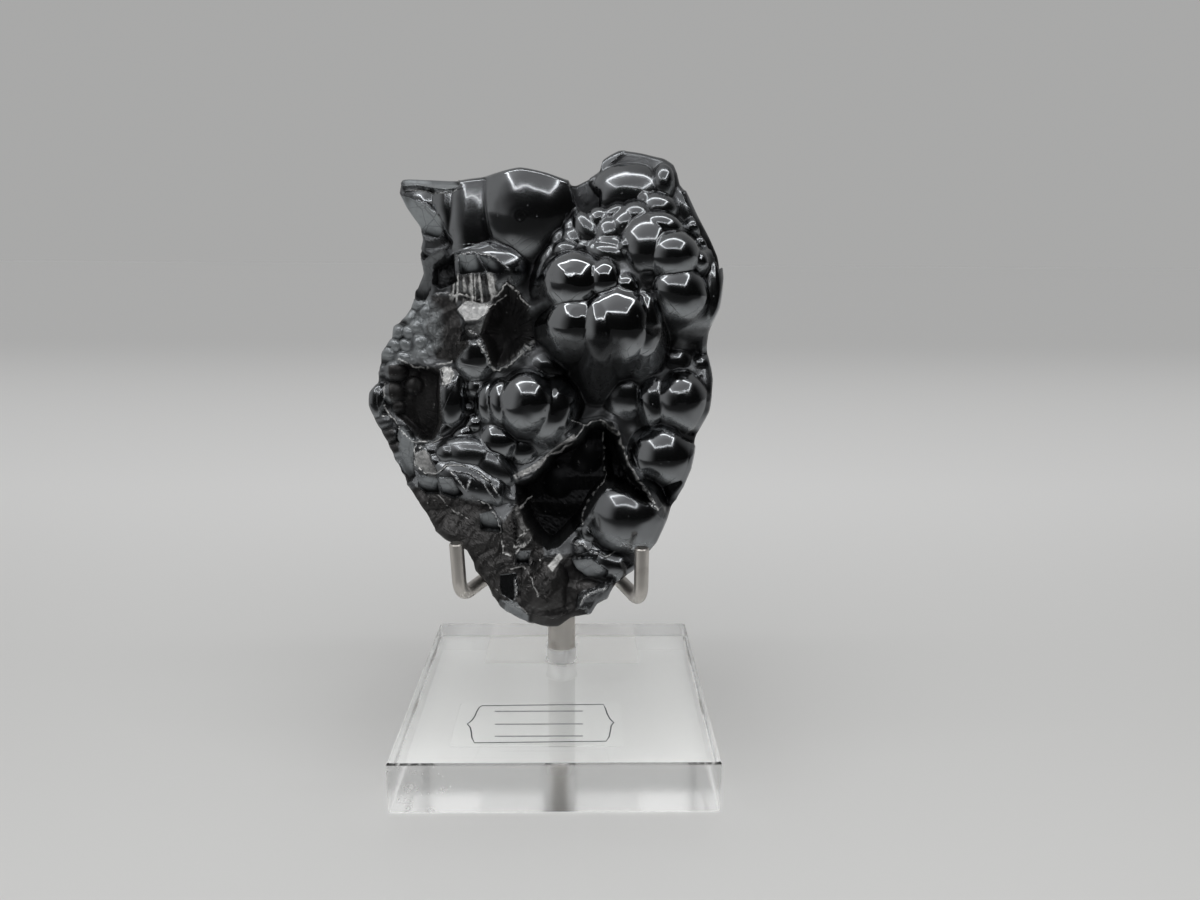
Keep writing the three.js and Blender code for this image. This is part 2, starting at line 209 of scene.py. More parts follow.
def through(points: Outline, share: Array) -> Array:
    """Smooth curve through points.

    A cubic Hermite curve over the chord length, with the slope at each point taken from its two
    neighbours and held back by half, so that corners stay tight.

    Args:
        points: the points [a, b], in order.
        share: shares of the curve's length, from 0 to 1.

    Returns:
        The places at those shares, (n, 2).
    """
    knots = np.array(points, float)
    chord = lengths(knots)
    slopes = 0.5 * np.gradient(knots, chord, axis=0)
    place = np.clip(share, 0.0, 1.0) * chord[-1]
    i = np.clip(np.searchsorted(chord, place, side="right") - 1, 0, len(chord) - 2)
    span = (chord[i + 1] - chord[i])[:, None]
    t = ((place - chord[i]) / span[:, 0])[:, None]
    return (
        (2 * t**3 - 3 * t**2 + 1) * knots[i]
        + (t**3 - 2 * t**2 + t) * span * slopes[i]
        + (3 * t**2 - 2 * t**3) * knots[i + 1]
        + (t**3 - t**2) * span * slopes[i + 1]
    )


def bell(reach: int) -> Array:
    """Weights of a bell curve that add up to 1, over three reaches to each side."""
    weights = np.exp(-0.5 * (np.arange(-3 * reach, 3 * reach + 1) / reach) ** 2)
    return weights / weights.sum()


def calmed(points: Outline, share: Array, samples: int = 257, reach: int = 18) -> Array:
    """The smooth curve through points, blurred along its length while its two ends stay.

    The curve less the straight line between its ends is blurred with a bell curve, mirrored with
    its sign changed beyond the ends.

    Args:
        points: the points [a, b], in order.
        share: shares of the curve's length, from 0 to 1.
        samples: how many places stand for the curve while it is blurred.
        reach: reach of the bell curve, in samples.

    Returns:
        The places at those shares, (n, 2).
    """
    steps = np.linspace(0.0, 1.0, samples)
    curve = through(points, steps)
    line = lerp(curve[0], curve[-1], steps[:, None])
    away = curve - line
    wide = 3 * reach
    padded = np.concatenate([-away[wide:0:-1], away, -away[-2 : -wide - 2 : -1]])
    columns = []
    for k in (0, 1):
        calm = line[:, k] + np.convolve(padded[:, k], bell(reach), mode="valid")
        columns.append(np.interp(share, steps, calm))
    return np.column_stack(columns)


def blurred(values: Array, reach: int) -> Array:
    """A grid blurred by a bell curve of reach cells along both axes, its border values held."""
    padded = np.pad(values, 3 * reach, mode="edge")
    for axis in (0, 1):
        padded = np.apply_along_axis(np.convolve, axis, padded, bell(reach), mode="valid")
    return padded


def between_cells(values: Array, u: Array, v: Array) -> Array:
    """Reads a grid at shares u of its columns and v of its rows, blended between its cells."""
    columns, rows = values.shape[0] - 1, values.shape[1] - 1
    x, y = u[:, None] * columns, v[None, :] * rows
    i, j = np.minimum(x.astype(int), columns - 1), np.minimum(y.astype(int), rows - 1)
    low = lerp(values[i, j], values[i + 1, j], x - i)
    high = lerp(values[i, j + 1], values[i + 1, j + 1], x - i)
    return lerp(low, high, y - j)


def gap_to_line(a: Array, b: Array, line: Outline) -> Array:
    """Distance to an open line: the nearest distance to any of its sides."""
    nearest = np.full(a.shape, np.inf)
    for start, end in zip(np.array(line[:-1]), np.array(line[1:])):
        side = end - start
        share = np.clip(((a - start[0]) * side[0] + (b - start[1]) * side[1]) / (side @ side), 0.0, 1.0)
        gap = np.hypot(a - start[0] - side[0] * share, b - start[1] - side[1] * share)
        nearest = np.minimum(nearest, gap)
    return nearest


def depth_inside(a: Array, b: Array, rim: Outline) -> Array:
    """Distance to a closed outline, positive inside it.

    The nearest distance to any side, with its sign from the count of sides that a ray to the right
    crosses.

    Args:
        a: places to the right.
        b: places up the face.
        rim: the outline once round.

    Returns:
        The signed distances, in the layout of a and b.
    """
    closed = rim + rim[:1]
    inside = np.zeros(a.shape, bool)
    for (start_a, start_b), (end_a, end_b) in zip(closed[:-1], closed[1:]):
        if start_b != end_b:
            crosses = (start_b > b) != (end_b > b)
            at = start_a + (b - start_b) * (end_a - start_a) / (end_b - start_b)
            inside ^= crosses & (a < at)
    gap = gap_to_line(a, b, closed)
    return np.where(inside, gap, -gap)


def at_height(places: Array, z: float) -> Array:
    """Points [x, y, z] over places [x, y], all at one height."""
    return np.column_stack([places, np.full(len(places), z)])


def round_places(count: int) -> Array:
    """Places [x, y] evenly round a circle of radius 1."""
    turn = np.linspace(0.0, 2.0 * math.pi, count, endpoint=False)
    return np.column_stack([np.cos(turn), np.sin(turn)])


# ------------------------------------------------------------------ meshes


@dataclass
class Skin:
    """Points, faces and marks of one closed piece, gathered before it becomes a mesh."""

    points: list[Array] = field(default_factory=list)
    faces: list[Array] = field(default_factory=list)
    marks: dict[Mark, list[Array]] = field(default_factory=dict)
    count: int = 0

    def add(self, points: Array, marks: Marks | None = None) -> Array:
        """Adds points.

        Args:
            points: an array (..., 3).
            marks: for each mark an array (...) of values.

        Returns:
            The numbers of the points, in the same layout.
        """
        flat = points.reshape(-1, 3)
        numbers = np.arange(self.count, self.count + len(flat)).reshape(points.shape[:-1])
        self.points.append(flat)
        self.count += len(flat)
        for mark, values in (marks or {}).items():
            self.marks.setdefault(mark, []).append(np.broadcast_to(values, numbers.shape).ravel())
        return numbers

    def grid(self, numbers: Array, flipped: bool = False) -> None:
        """Joins a grid of point numbers (columns, rows) into four-sided faces."""
        corners = [numbers[:-1, :-1], numbers[1:, :-1], numbers[1:, 1:], numbers[:-1, 1:]]
        quads = np.stack(corners, axis=-1).reshape(-1, 4)
        self.faces.append(quads[:, ::-1] if flipped else quads)

    def ring(self, first: Array, second: Array) -> None:
        """Joins two closed rings with as many points each."""
        self.faces.append(np.stack([first, second, np.roll(second, -1), np.roll(first, -1)], axis=-1))

    def closed_rings(self, rings: list[Array]) -> None:
        """Joins each ring to the next, and the last to the first."""
        for first, second in zip(rings, rings[1:] + rings[:1]):
            self.ring(second, first)

    def halved_ring(self, fine: Array, coarse: Array) -> None:
        """Joins a ring to one of half as many points, three triangles for each two steps."""
        start, middle, end = fine[0::2], fine[1::2], np.roll(fine, -2)[0::2]
        after = np.roll(coarse, -1)
        for corners in ([start, coarse, middle], [middle, coarse, after], [middle, after, end]):
            self.faces.append(np.stack(corners, axis=-1))

    def stepped_ring(self, fine: Array, coarse: Array) -> None:
        """Joins a ring to one with a whole fraction of its points, one face for each coarse step."""
        step = len(fine) // len(coarse)
        starts = np.arange(len(coarse)) * step
        walk = (starts[:, None] + np.arange(step + 1)[None, ::-1]) % len(fine)
        self.faces.append(np.column_stack([coarse, np.roll(coarse, -1), fine[walk]]))

    def cap(self, ring: Array) -> None:
        """Closes a ring with one flat face."""
        self.faces.append(ring[None, :])

    def mesh(self, name: str, sharp: float | None = None) -> Mesh:
        """Writes the gathered points, faces and marks into a new mesh.

        Args:
            name: the mesh's name.
            sharp: edges that turn by more degrees than this stay sharp.

        Returns:
            The mesh, in metres.
        """
        mesh = bpy.data.meshes.new(name)
        faces = [row for block in self.faces for row in block.tolist()]
        mesh.from_pydata((np.concatenate(self.points) * MM).tolist(), [], faces)
        mesh.update()
        mesh.shade_smooth()
        if sharp is not None:
            mesh.set_sharp_from_angle(angle=math.radians(sharp))
        for mark, blocks in self.marks.items():
            layer = mesh.attributes.new(mark.value, "FLOAT", "POINT")
            layer.data.foreach_set("value", np.concatenate(blocks).astype(np.float32))
        return mesh


def place_piece(
    mesh: Mesh, finish: Material, node: str | None = None
) -> Object:
    """Makes an object of a mesh, dresses it and hands it to the frame.

    Args:
        mesh: the finished mesh, in its place in the frame.
        finish: its material.
        node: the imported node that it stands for, if any.

    Returns:
        The new object.
    """
    made = bpy.data.objects.new(mesh.name, mesh)
    bpy.context.scene.collection.objects.link(made)
    mesh.materials.append(finish)
    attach(made, BODY)
    if node:
        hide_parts(node)
    LOG.info("%s: %d points, %d faces", made.name, len(mesh.vertices), len(mesh.polygons))
    return made


# ------------------------------------------------------------------ features of the stone


@dataclass(frozen=True)
class Hollow:
    """A sunken place: its rim, the height of its floor, the width of its wall, how broken it is, and
    the painted shade inside it.
    """

    rim: Outline
    floor: float
    wall: float
    broken: float = 0.0
    # share of painted shade inside the hollow
    painted_shade_share: float = 0.5


@dataclass(frozen=True)
class Cluster:
    """Lobes that share their roundness, the softness of their valleys and their dullness.

    Each row is the lobe's middle, half width, half height, turn in degrees and top. The lobe is
    a part of a ball whose radius is swell times its smaller half size.
    """

    rows: tuple[LobeRow, ...]
    swell: float = 1.35
    valley: float = 0.4
    skirt: float = 3.0
    satin: float = 0.4


@dataclass(frozen=True)
class Lobe:
    """One oval lobe with its cluster's manner."""

    a: float
    b: float
    half_a: float
    half_b: float
    turn: float
    top: float
    manner: Cluster

    @property
    def size(self) -> float:
        """Mean half size of the oval."""
        return math.sqrt(self.half_a * self.half_b)

    @property
    def radius(self) -> float:
        """Radius of the ball that the lobe is a part of."""
        return min(self.half_a, self.half_b) * self.manner.swell

    @property
    def rise(self) -> float:
        """How far the lobe stands above its own outline: R - sqrt(R^2 - r^2)."""
        return self.radius * (1.0 - math.sqrt(1.0 - 1.0 / self.manner.swell**2))

    def away(self, a: Array, b: Array) -> Array:
        """Distance to the lobe's middle in units of its half sizes, 1 on its outline."""
        cosine, sine = math.cos(math.radians(self.turn)), math.sin(math.radians(self.turn))
        along = ((a - self.a) * cosine + (b - self.b) * sine) / self.half_a
        across = ((b - self.b) * cosine - (a - self.a) * sine) / self.half_b
        return np.hypot(along, across)

    def height(self, a: Array, b: Array, shoulder: float = 0.9) -> Array:
        """Height of the lobe at places.

        With d the distance to its middle in units of its swollen halves, it is
        top - R + R sqrt(1 - d^2) as far as the shoulder, then a straight steep skirt.

        Args:
            a: places to the right.
            b: places up the face.
            shoulder: the distance d at which the skirt begins.

        Returns:
            The heights.
        """
        away = self.away(a, b) / self.manner.swell
        cap = np.sqrt(np.maximum(1.0 - np.minimum(away, shoulder) ** 2, 0.0))
        skirt = np.maximum(away - shoulder, 0.0) * self.manner.skirt
        return self.top - self.radius * (1.0 - cap + skirt)


@dataclass(frozen=True)
class Facet:
    """A broken flat face.

    Its height is top at the middle of its rim and changes with the slopes along a and b. A slope
    above 0 along b turns the face downwards, one below 0 upwards.
    """

    rim: Outline
    top: float
    slope_a: float
    slope_b: float
    pale: float = 0.0
    # share of silvery break, with its painted glint
    silver_and_glint: float = 0.0
    broken: float = 0.0
    chips: float = 0.05


@dataclass(frozen=True)
class Ridge:
    """A thin raised lip along a line, the broken edge of a shell."""

    line: Outline
    height: float
    width: float
    # share of the painted silvery highlight along its crest
    silver_and_glint: float = 1.0
    jag: float = 1.0


@dataclass(frozen=True)
class Patch:
    """A part of the face with a rough broken surface, and fibres that spread from a centre."""

    rim: Outline
    edge: float
    broken: float
    chips: float
    pale: float = 0.0
    # silvery breaks, with their painted glints
    silver_and_glint: float = 0.0
    centre: Place | None = None
    fibres: float = 0.0
    reach: float = 12.0
    # painted glints on the largest crumbs, then painted shade over the patch
    glints: float = 0.0
    painted_shade_share: float = 0.0


WING_ROWS = (
    (-25.4, 100.6, 2.6, 6.6, 6, 4.9), (-20.6, 98.6, 3.3, 10.4, 0, 6.2), (-30.6, 100.8, 3.6, 4.2, 50, 3.2),
)
GREAT_ROWS = ((-6.3, 101.4, 11.8, 14.0, 0, 9.8),)
CROWN_ROWS = (
    (17.2, 102.6, 8.2, 7.2, 0, 8.8), (24.5, 104.9, 2.1, 3.2, 0, 8.8), (22.9, 98.2, 3.9, 3.4, 0, 10.2),
    (19.7, 99.9, 2.3, 2.5, 0, 9.0), (31.3, 94.3, 1.6, 1.8, 0, 8.5), (33.1, 90.4, 1.6, 1.6, 0, 8.5),
    (28.9, 99.3, 2.8, 6.0, 24, 6.5),
)
UPPER_RIGHT_ROWS = (
    (20.6, 88.6, 5.8, 7.0, 0, 15.6), (23.8, 93.0, 3.8, 2.6, -15, 13.2), (26.3, 86.2, 4.8, 4.6, 0, 17.2),
    (32.1, 85.2, 2.0, 2.0, 0, 13.0), (27.5, 78.2, 5.5, 5.7, 0, 16.0), (35.5, 79.8, 2.0, 6.6, 0, 11.0),
    (30.4, 76.0, 7.8, 6.6, 0, 10.5),
)
BERRY_ROWS = (
    (4.3, 90.5, 2.6, 3.0, -25, 10.4), (7.0, 92.6, 1.9, 3.3, 30, 11.4), (9.7, 95.2, 2.1, 2.1, 0, 11.0),
    (13.2, 96.4, 1.8, 1.3, 30, 10.8), (11.9, 91.4, 2.4, 3.0, -10, 12.4), (15.3, 93.5, 2.4, 2.9, -25, 12.8),
    (18.0, 95.7, 2.5, 2.3, 0, 12.8), (12.9, 88.7, 3.0, 1.6, -20, 12.8), (15.6, 88.0, 1.3, 1.3, 0, 13.2),
    (8.8, 86.7, 1.5, 2.4, 10, 12.4), (11.9, 86.4, 3.0, 2.1, -15, 13.8), (7.1, 88.9, 1.9, 1.5, 0, 11.2),
    (2.2, 87.6, 2.1, 1.8, 0, 10.4), (-1.4, 86.8, 1.7, 2.7, -25, 8.6), (-2.6, 82.3, 1.6, 3.2, -10, 8.4),
    (20.6, 82.1, 2.1, 2.0, 0, 12.6), (20.7, 80.1, 1.3, 1.1, 0, 11.8), (0.7, 90.6, 1.8, 2.2, -30, 8.6),
    (3.5, 93.8, 1.7, 2.0, -30, 9.0),
)
PROUD_ROWS = (
    (3.7, 80.2, 5.5, 5.7, 0, 17.6), (10.5, 80.6, 3.1, 3.5, 0, 17.0), (15.4, 79.0, 2.7, 2.7, 0, 16.0),
    (4.8, 70.7, 6.0, 6.0, 0, 17.0), (13.6, 70.9, 6.3, 7.4, 0, 18.6), (19.2, 71.1, 3.6, 6.4, 0, 15.6),
    (9.6, 69.1, 3.1, 5.7, 0, 17.0), (20.9, 79.5, 1.0, 0.9, 0, 12.5), (19.5, 77.4, 0.9, 0.9, 0, 14.0),
)
RIGHT_FLANK_ROWS = (
    (27.6, 63.3, 4.2, 3.7, 0, 5.2), (22.8, 61.6, 2.1, 2.1, 0, 3.8), (33.8, 62.7, 1.9, 1.9, 0, 4.5),
    (33.3, 60.1, 1.2, 1.2, 0, 4.8), (16.1, 55.6, 4.7, 5.6, 0, 5.4), (22.6, 53.8, 3.0, 5.1, 0, 7.6),
    (28.9, 53.9, 5.3, 6.2, 0, 9.6), (34.7, 55.4, 2.1, 7.0, 4, 5.0), (7.7, 59.0, 2.4, 2.2, 0, 0.6),
    (2.2, 59.5, 1.9, 2.4, 0, 0.6), (11.5, 62.9, 2.4, 1.9, 0, 0.4), (10.3, 54.3, 2.9, 2.2, 0, 0.2),
    (31.0, 45.1, 6.1, 3.3, 32, 4.4), (24.9, 40.7, 6.6, 6.6, 0, 10.4), (28.3, 33.5, 4.6, 6.0, 30, 8.0),
)
MIDDLE_ROWS = (
    (-2.6, 62.0, 4.5, 3.9, -15, 7.4), (1.0, 64.6, 1.5, 1.8, 20, 5.6), (-15.6, 53.4, 3.2, 4.6, -10, 7.0),
    (-12.6, 53.4, 3.0, 4.4, 0, 7.8), (-6.8, 53.2, 5.7, 6.6, 0, 12.6), (-2.2, 51.8, 5.9, 7.4, -10, 10.0),
    (-21.2, 51.5, 1.7, 2.1, 0, 3.6), (-19.6, 48.2, 1.9, 1.8, 0, 5.2), (-22.3, 45.6, 3.0, 1.7, 40, 5.0),
    (-14.0, 44.4, 4.7, 4.7, 0, 7.0), (-8.3, 42.6, 4.4, 4.4, 0, 4.8), (-25.0, 54.9, 3.2, 6.4, 0, 5.8),
    (-19.2, 64.9, 4.9, 6.0, 0, 7.6), (-18.8, 57.0, 2.8, 2.6, 0, 4.8), (-26.0, 47.6, 2.0, 3.0, -40, 3.6),
)
STEP_ROWS = (
    (-29.6, 41.8, 1.9, 1.8, 0, 5.6), (-28.2, 39.4, 1.7, 1.5, 0, 5.8), (-25.6, 41.4, 2.0, 1.8, 0, 6.2),
    (-20.6, 41.0, 5.4, 3.2, -8, 7.8), (-15.4, 38.2, 4.8, 3.2, -42, 7.6), (-20.2, 34.6, 7.4, 3.7, -24, 8.8),
    (-14.2, 32.4, 1.6, 2.4, 0, 7.4),
)
SHOULDER_ROWS = (
    (-32.7, 76.5, 1.4, 1.4, 0, 3.4), (-34.6, 73.7, 1.4, 1.7, 0, 3.2), (-37.8, 70.2, 1.7, 1.7, 0, 2.8),
    (-35.0, 70.1, 1.4, 1.4, 0, 3.6), (-38.3, 66.7, 1.4, 1.4, 0, 2.6), (-32.1, 67.7, 1.6, 1.4, 0, 4.2),
    (-29.1, 66.0, 1.6, 1.4, 0, 4.8), (-35.8, 67.1, 1.4, 1.4, 0, 3.4), (-39.9, 65.1, 1.4, 1.4, 0, 2.0),
    (-31.1, 64.9, 1.6, 1.2, 0, 4.2), (-36.3, 64.3, 1.7, 1.2, 0, 3.2), (-33.3, 71.5, 1.4, 1.4, 0, 4.0),
    (-40.5, 68.5, 1.2, 1.2, 0, 1.6), (-30.4, 71.2, 1.6, 1.9, 0, 4.4), (-42.2, 65.2, 1.2, 1.4, 0, 1.4),
    (-31.2, 74.3, 1.2, 1.4, 0, 4.0), (-43.3, 54.1, 1.9, 4.3, 0, 2.6), (-33.1, 88.5, 1.0, 1.0, 0, 1.6),
)
LOW_RIGHT_ROWS = (
    (16.0, 27.3, 7.7, 7.5, 0, 17.0), (7.6, 23.2, 2.0, 2.3, 0, 11.5), (5.1, 24.9, 1.4, 1.4, 0, 10.5),
    (8.5, 18.6, 4.6, 2.8, -25, 12.0), (13.0, 16.1, 4.8, 3.0, -20, 13.0), (-0.4, 17.6, 1.4, 1.9, -30, 9.8),
)
FOOT_ROWS = (
    (-10.6, 11.6, 2.9, 3.6, 0, 13.0), (-2.0, 10.5, 4.0, 5.4, 0, 14.5), (-6.1, 10.3, 2.0, 4.5, 0, 13.2),
    (8.7, 8.8, 4.5, 2.9, -28, 13.5), (-8.8, 6.7, 4.1, 2.7, 25, 13.0), (-1.4, 5.3, 3.2, 2.3, 0, 13.0),
)
SHELL_ROWS = ((-16.9, 84.7, 8.5, 5.8, 6, 8.0),)

# Lobes that stand inside the hollows.
SUNKEN_ROWS = (
    (-38.9, 61.0, 2.1, 2.1, 0, 2.6), (-39.4, 55.8, 2.0, 2.1, 0, 2.6), (-34.5, 57.5, 1.7, 1.7, 0, 2.0),
    (-38.2, 52.5, 1.3, 1.2, 0, 1.6), (-39.5, 45.8, 1.4, 1.4, 0, 2.6), (-41.1, 48.9, 1.4, 1.4, 0, 2.0),
    (-37.8, 42.3, 1.4, 1.7, 0, 2.6), (6.6, 41.2, 4.4, 5.6, 10, -4.0), (-0.4, 34.6, 4.2, 5.0, 20, -4.2),
)

CLUSTERS = (
    Cluster(WING_ROWS, swell=2.1, valley=0.4, satin=0.4),
    Cluster(GREAT_ROWS, swell=1.42, valley=0.1, satin=0.35),
    Cluster(CROWN_ROWS, swell=1.3, valley=0.15, satin=0.6),
    Cluster(UPPER_RIGHT_ROWS, swell=1.3, valley=0.12, satin=0.4),
    Cluster(BERRY_ROWS, swell=1.6, valley=0.08, satin=0.7),
    Cluster(PROUD_ROWS, swell=1.35, valley=0.1, satin=0.1),
    Cluster(RIGHT_FLANK_ROWS, swell=1.3, valley=0.15, satin=0.4),
    Cluster(MIDDLE_ROWS, swell=1.25, valley=0.12, satin=0.35),
    Cluster(STEP_ROWS, swell=1.5, valley=0.2, satin=0.9),
    Cluster(SHOULDER_ROWS, swell=1.2, valley=0.1, satin=0.7),
    Cluster(LOW_RIGHT_ROWS, swell=1.25, valley=0.15, satin=0.6),
    Cluster(FOOT_ROWS, satin=0.7),
    Cluster(SHELL_ROWS, satin=0.4),
)
SUNKEN = Cluster(SUNKEN_ROWS, satin=0.5)

LEVELS = (
    (-36.4, 104.0, 2.5), (-30.1, 102.2, 2.0), (-27.9, 92.0, 1.0), (-31.6, 89.7, 0.5), (-35.2, 80.1, 0.5),
    (-39.6, 70.6, 0.3), (-43.0, 58.6, 0.0), (-44.5, 51.4, 0.0), (-40.4, 43.0, 1.0), (-37.2, 34.7, 2.5),
    (0.9, 100.8, 3.5), (6.2, 101.4, 1.5), (10.3, 104.5, 3.0), (31.4, 93.4, 5.0), (35.7, 77.1, 4.0),
    (37.1, 70.6, 0.5), (23.5, 69.5, -0.5), (34.3, 67.0, 0.5), (-19.6, 92.0, 1.0), (-4.0, 86.5, 2.0),
    (-6.3, 81.0, 2.5), (-3.3, 70.5, 1.0), (-20.3, 79.5, 4.0), (-26.3, 77.2, 3.5), (-29.9, 70.2, 3.0),
    (-22.1, 66.5, 3.5), (6.9, 87.7, 9.0), (14.9, 89.7, 10.5), (10.3, 75.6, 13.0), (7.9, 65.5, 3.0),
    (9.1, 59.9, -1.0), (5.5, 54.3, -0.5), (19.9, 65.9, -0.5), (13.2, 60.6, -1.0), (19.9, 49.0, 0.5),
    (-35.0, 55.0, -0.5), (-27.7, 54.9, 2.5), (-21.7, 54.9, 1.5), (-20.7, 51.3, 1.5), (-18.2, 62.0, 2.0),
    (-11.0, 58.4, 3.0), (-24.1, 44.2, 2.5), (-29.7, 39.4, 4.0), (-13.4, 41.8, 3.0), (-17.9, 33.6, 4.5),
    (-8.8, 37.0, 1.0), (-1.6, 40.6, 1.5), (4.3, 51.4, 1.0), (19.8, 44.2, 1.5), (18.0, 41.8, 0.5),
    (34.1, 44.2, 1.5), (31.6, 34.7, 3.0), (23.3, 32.4, 4.0), (-26.9, 25.5, 6.5), (-19.9, 25.5, 6.5),
    (-13.1, 25.4, 5.0), (-10.5, 19.8, 7.5), (-5.8, 14.2, 9.0), (-14.9, 14.3, 9.5), (-1.1, 7.7, 11.0),
    (-7.9, 6.6, 11.0), (3.4, 16.5, 8.5), (8.0, 13.3, 10.5), (14.8, 16.8, 11.0), (10.3, 20.0, 9.5),
    (0.8, 22.8, 2.0), (20.6, 21.2, 10.0),
)

FACETS = (
    # the wing: its cut tip, its bevelled top and the dark faces under it
    Facet(((-37.6, 102.0), (-35.2, 101.6), (-31.2, 99.9), (-28.4, 97.5), (-26.9, 94.5), (-28.4, 92.6),
           (-30.5, 92.8), (-32.4, 94.2), (-34.8, 97.1), (-37.1, 100.4)), 2.6, 0.25, 0.6, pale=1.0),
    Facet(((-38.4, 106.2), (-36.0, 107.6), (-29.9, 107.0), (-22.8, 106.4), (-23.2, 103.7), (-25.8, 102.8),
           (-29.9, 103.5), (-33.4, 104.4), (-38.2, 103.9)), 3.0, 0.1, -1.0, pale=0.6),
    Facet(((-32.3, 93.4), (-28.5, 92.5), (-26.8, 93.9), (-24.9, 91.0), (-27.0, 88.9), (-30.1, 87.5),
           (-32.5, 89.4)), 2.0, -0.2, 0.05, broken=0.3, chips=0.2),
    Facet(((-32.6, 86.6), (-30.2, 87.8), (-26.4, 89.0), (-26.2, 86.6), (-29.5, 84.7), (-30.0, 79.9),
           (-31.6, 77.6), (-34.3, 77.6), (-33.6, 81.1), (-32.4, 84.2)),
          2.0, 0.45, 0.4, pale=0.3, broken=0.4, chips=0.3),
    # the broken shell under the wing, parted by a crack
    Facet(((-23.1, 87.6), (-19.1, 87.6), (-18.2, 85.7), (-16.6, 83.4), (-22.6, 82.9)),
          5.4, 0.1, 0.55, pale=1.0, chips=0.04),
    Facet(((-18.2, 87.3), (-15.4, 86.6), (-11.9, 84.3), (-13.3, 82.9), (-16.1, 83.4)),
          5.6, -0.12, 0.62, pale=1.0, chips=0.04),
    Facet(((-23.6, 74.9), (-21.6, 77.0), (-17.6, 76.6), (-14.2, 77.0), (-15.0, 75.2), (-18.4, 72.2),
           (-21.4, 71.8)), 5.8, -0.1, -0.35, silver_and_glint=0.62, chips=0.2),
    Facet(((-21.8, 71.9), (-18.5, 72.3), (-15.2, 75.0), (-15.9, 72.0), (-18.6, 67.9), (-22.8, 67.4)),
          4.7, 0.25, 0.3, silver_and_glint=0.28, chips=0.3),
    Facet(((-27.0, 61.3), (-24.9, 61.7), (-24.2, 59.4), (-25.1, 57.5), (-26.5, 56.8)),
          5.3, -0.5, -0.2, silver_and_glint=0.9, broken=0.3, chips=0.25),
    # the pale steps low on the left
    Facet(((-33.4, 41.3), (-31.0, 42.3), (-29.6, 40.6), (-28.0, 37.1), (-28.0, 35.9), (-30.8, 36.6),
           (-33.1, 38.3)), 4.4, -0.1, 0.2, silver_and_glint=0.55, broken=0.4, chips=0.35),
    Facet(((-37.5, 47.5), (-36.1, 48.0), (-33.5, 44.2), (-34.0, 39.0), (-33.3, 36.1), (-35.9, 33.3),
           (-37.8, 37.1), (-38.5, 41.8)), 2.8, 0.45, 0.3, pale=0.65, chips=0.12),
    Facet(((-32.8, 36.2), (-27.9, 35.7), (-27.2, 32.0), (-30.7, 32.0), (-32.4, 33.6)),
          4.8, 0.2, 0.5, pale=0.5, chips=0.14),
    Facet(((-27.4, 35.7), (-24.2, 35.7), (-21.6, 32.0), (-23.5, 30.9), (-26.7, 32.0)),
          6.4, -0.1, 0.55, pale=0.45, chips=0.14),
    Facet(((-17.9, 27.4), (-14.7, 28.4), (-12.8, 25.6), (-12.4, 23.3), (-17.5, 23.7)),
          7.4, 0.1, 0.5, pale=0.6, chips=0.14),
    # the foot
    Facet(((-10.1, 29.1), (-6.4, 30.7), (-5.4, 25.6), (-6.1, 21.0), (-9.4, 19.8)),
          7.0, 0.3, -0.1, silver_and_glint=0.15, broken=1.0, chips=0.9),
    Facet(((-9.6, 19.3), (-5.7, 19.3), (-6.4, 16.1), (-9.4, 16.1)), 9.4, 0.1, 0.45, pale=0.25, chips=0.2),
    Facet(((3.5, 17.7), (8.0, 17.9), (11.7, 15.0), (11.2, 13.1), (6.9, 13.6), (4.4, 15.4)),
          12.2, -0.1, 0.5, pale=0.35, chips=0.14),
    Facet(((-13.0, 8.5), (-8.9, 7.9), (-5.5, 3.8), (-8.9, 5.2)), 12.2, 0.35, 0.6, pale=0.35, chips=0.14),
    Facet(((-12.8, 14.1), (-9.0, 14.6), (-8.3, 11.2), (-9.7, 8.2), (-12.4, 9.6)),
          12.4, 0.1, -0.08, chips=0.08),
    Facet(((4.9, 10.1), (10.3, 11.9), (13.0, 12.8), (11.7, 8.8), (8.0, 6.1), (4.6, 6.5)),
          13.2, -0.12, 0.1, broken=0.3, chips=0.15),
    # the right edge and the crown
    Facet(((26.8, 108.0), (29.6, 107.3), (35.5, 96.5), (40.0, 87.0), (40.2, 81.0), (37.2, 84.2),
           (33.9, 91.3), (30.6, 98.3)), 4.4, -0.75, -0.15, broken=0.2, chips=0.15),
    Facet(((9.6, 109.3), (14.1, 112.8), (15.9, 112.0), (10.3, 107.4)), 5.2, 0.3, -0.15, chips=0.05),
    Facet(((2.0, 106.0), (6.7, 106.0), (9.8, 102.2), (9.8, 99.1), (6.0, 97.0), (3.7, 100.5)),
          3.0, 0.05, -0.1, broken=0.15, chips=0.2),
    Facet(((27.3, 47.2), (35.0, 44.9), (33.4, 43.0), (29.1, 45.1)), 4.2, -0.4, 0.5, pale=0.35, chips=0.1),
)

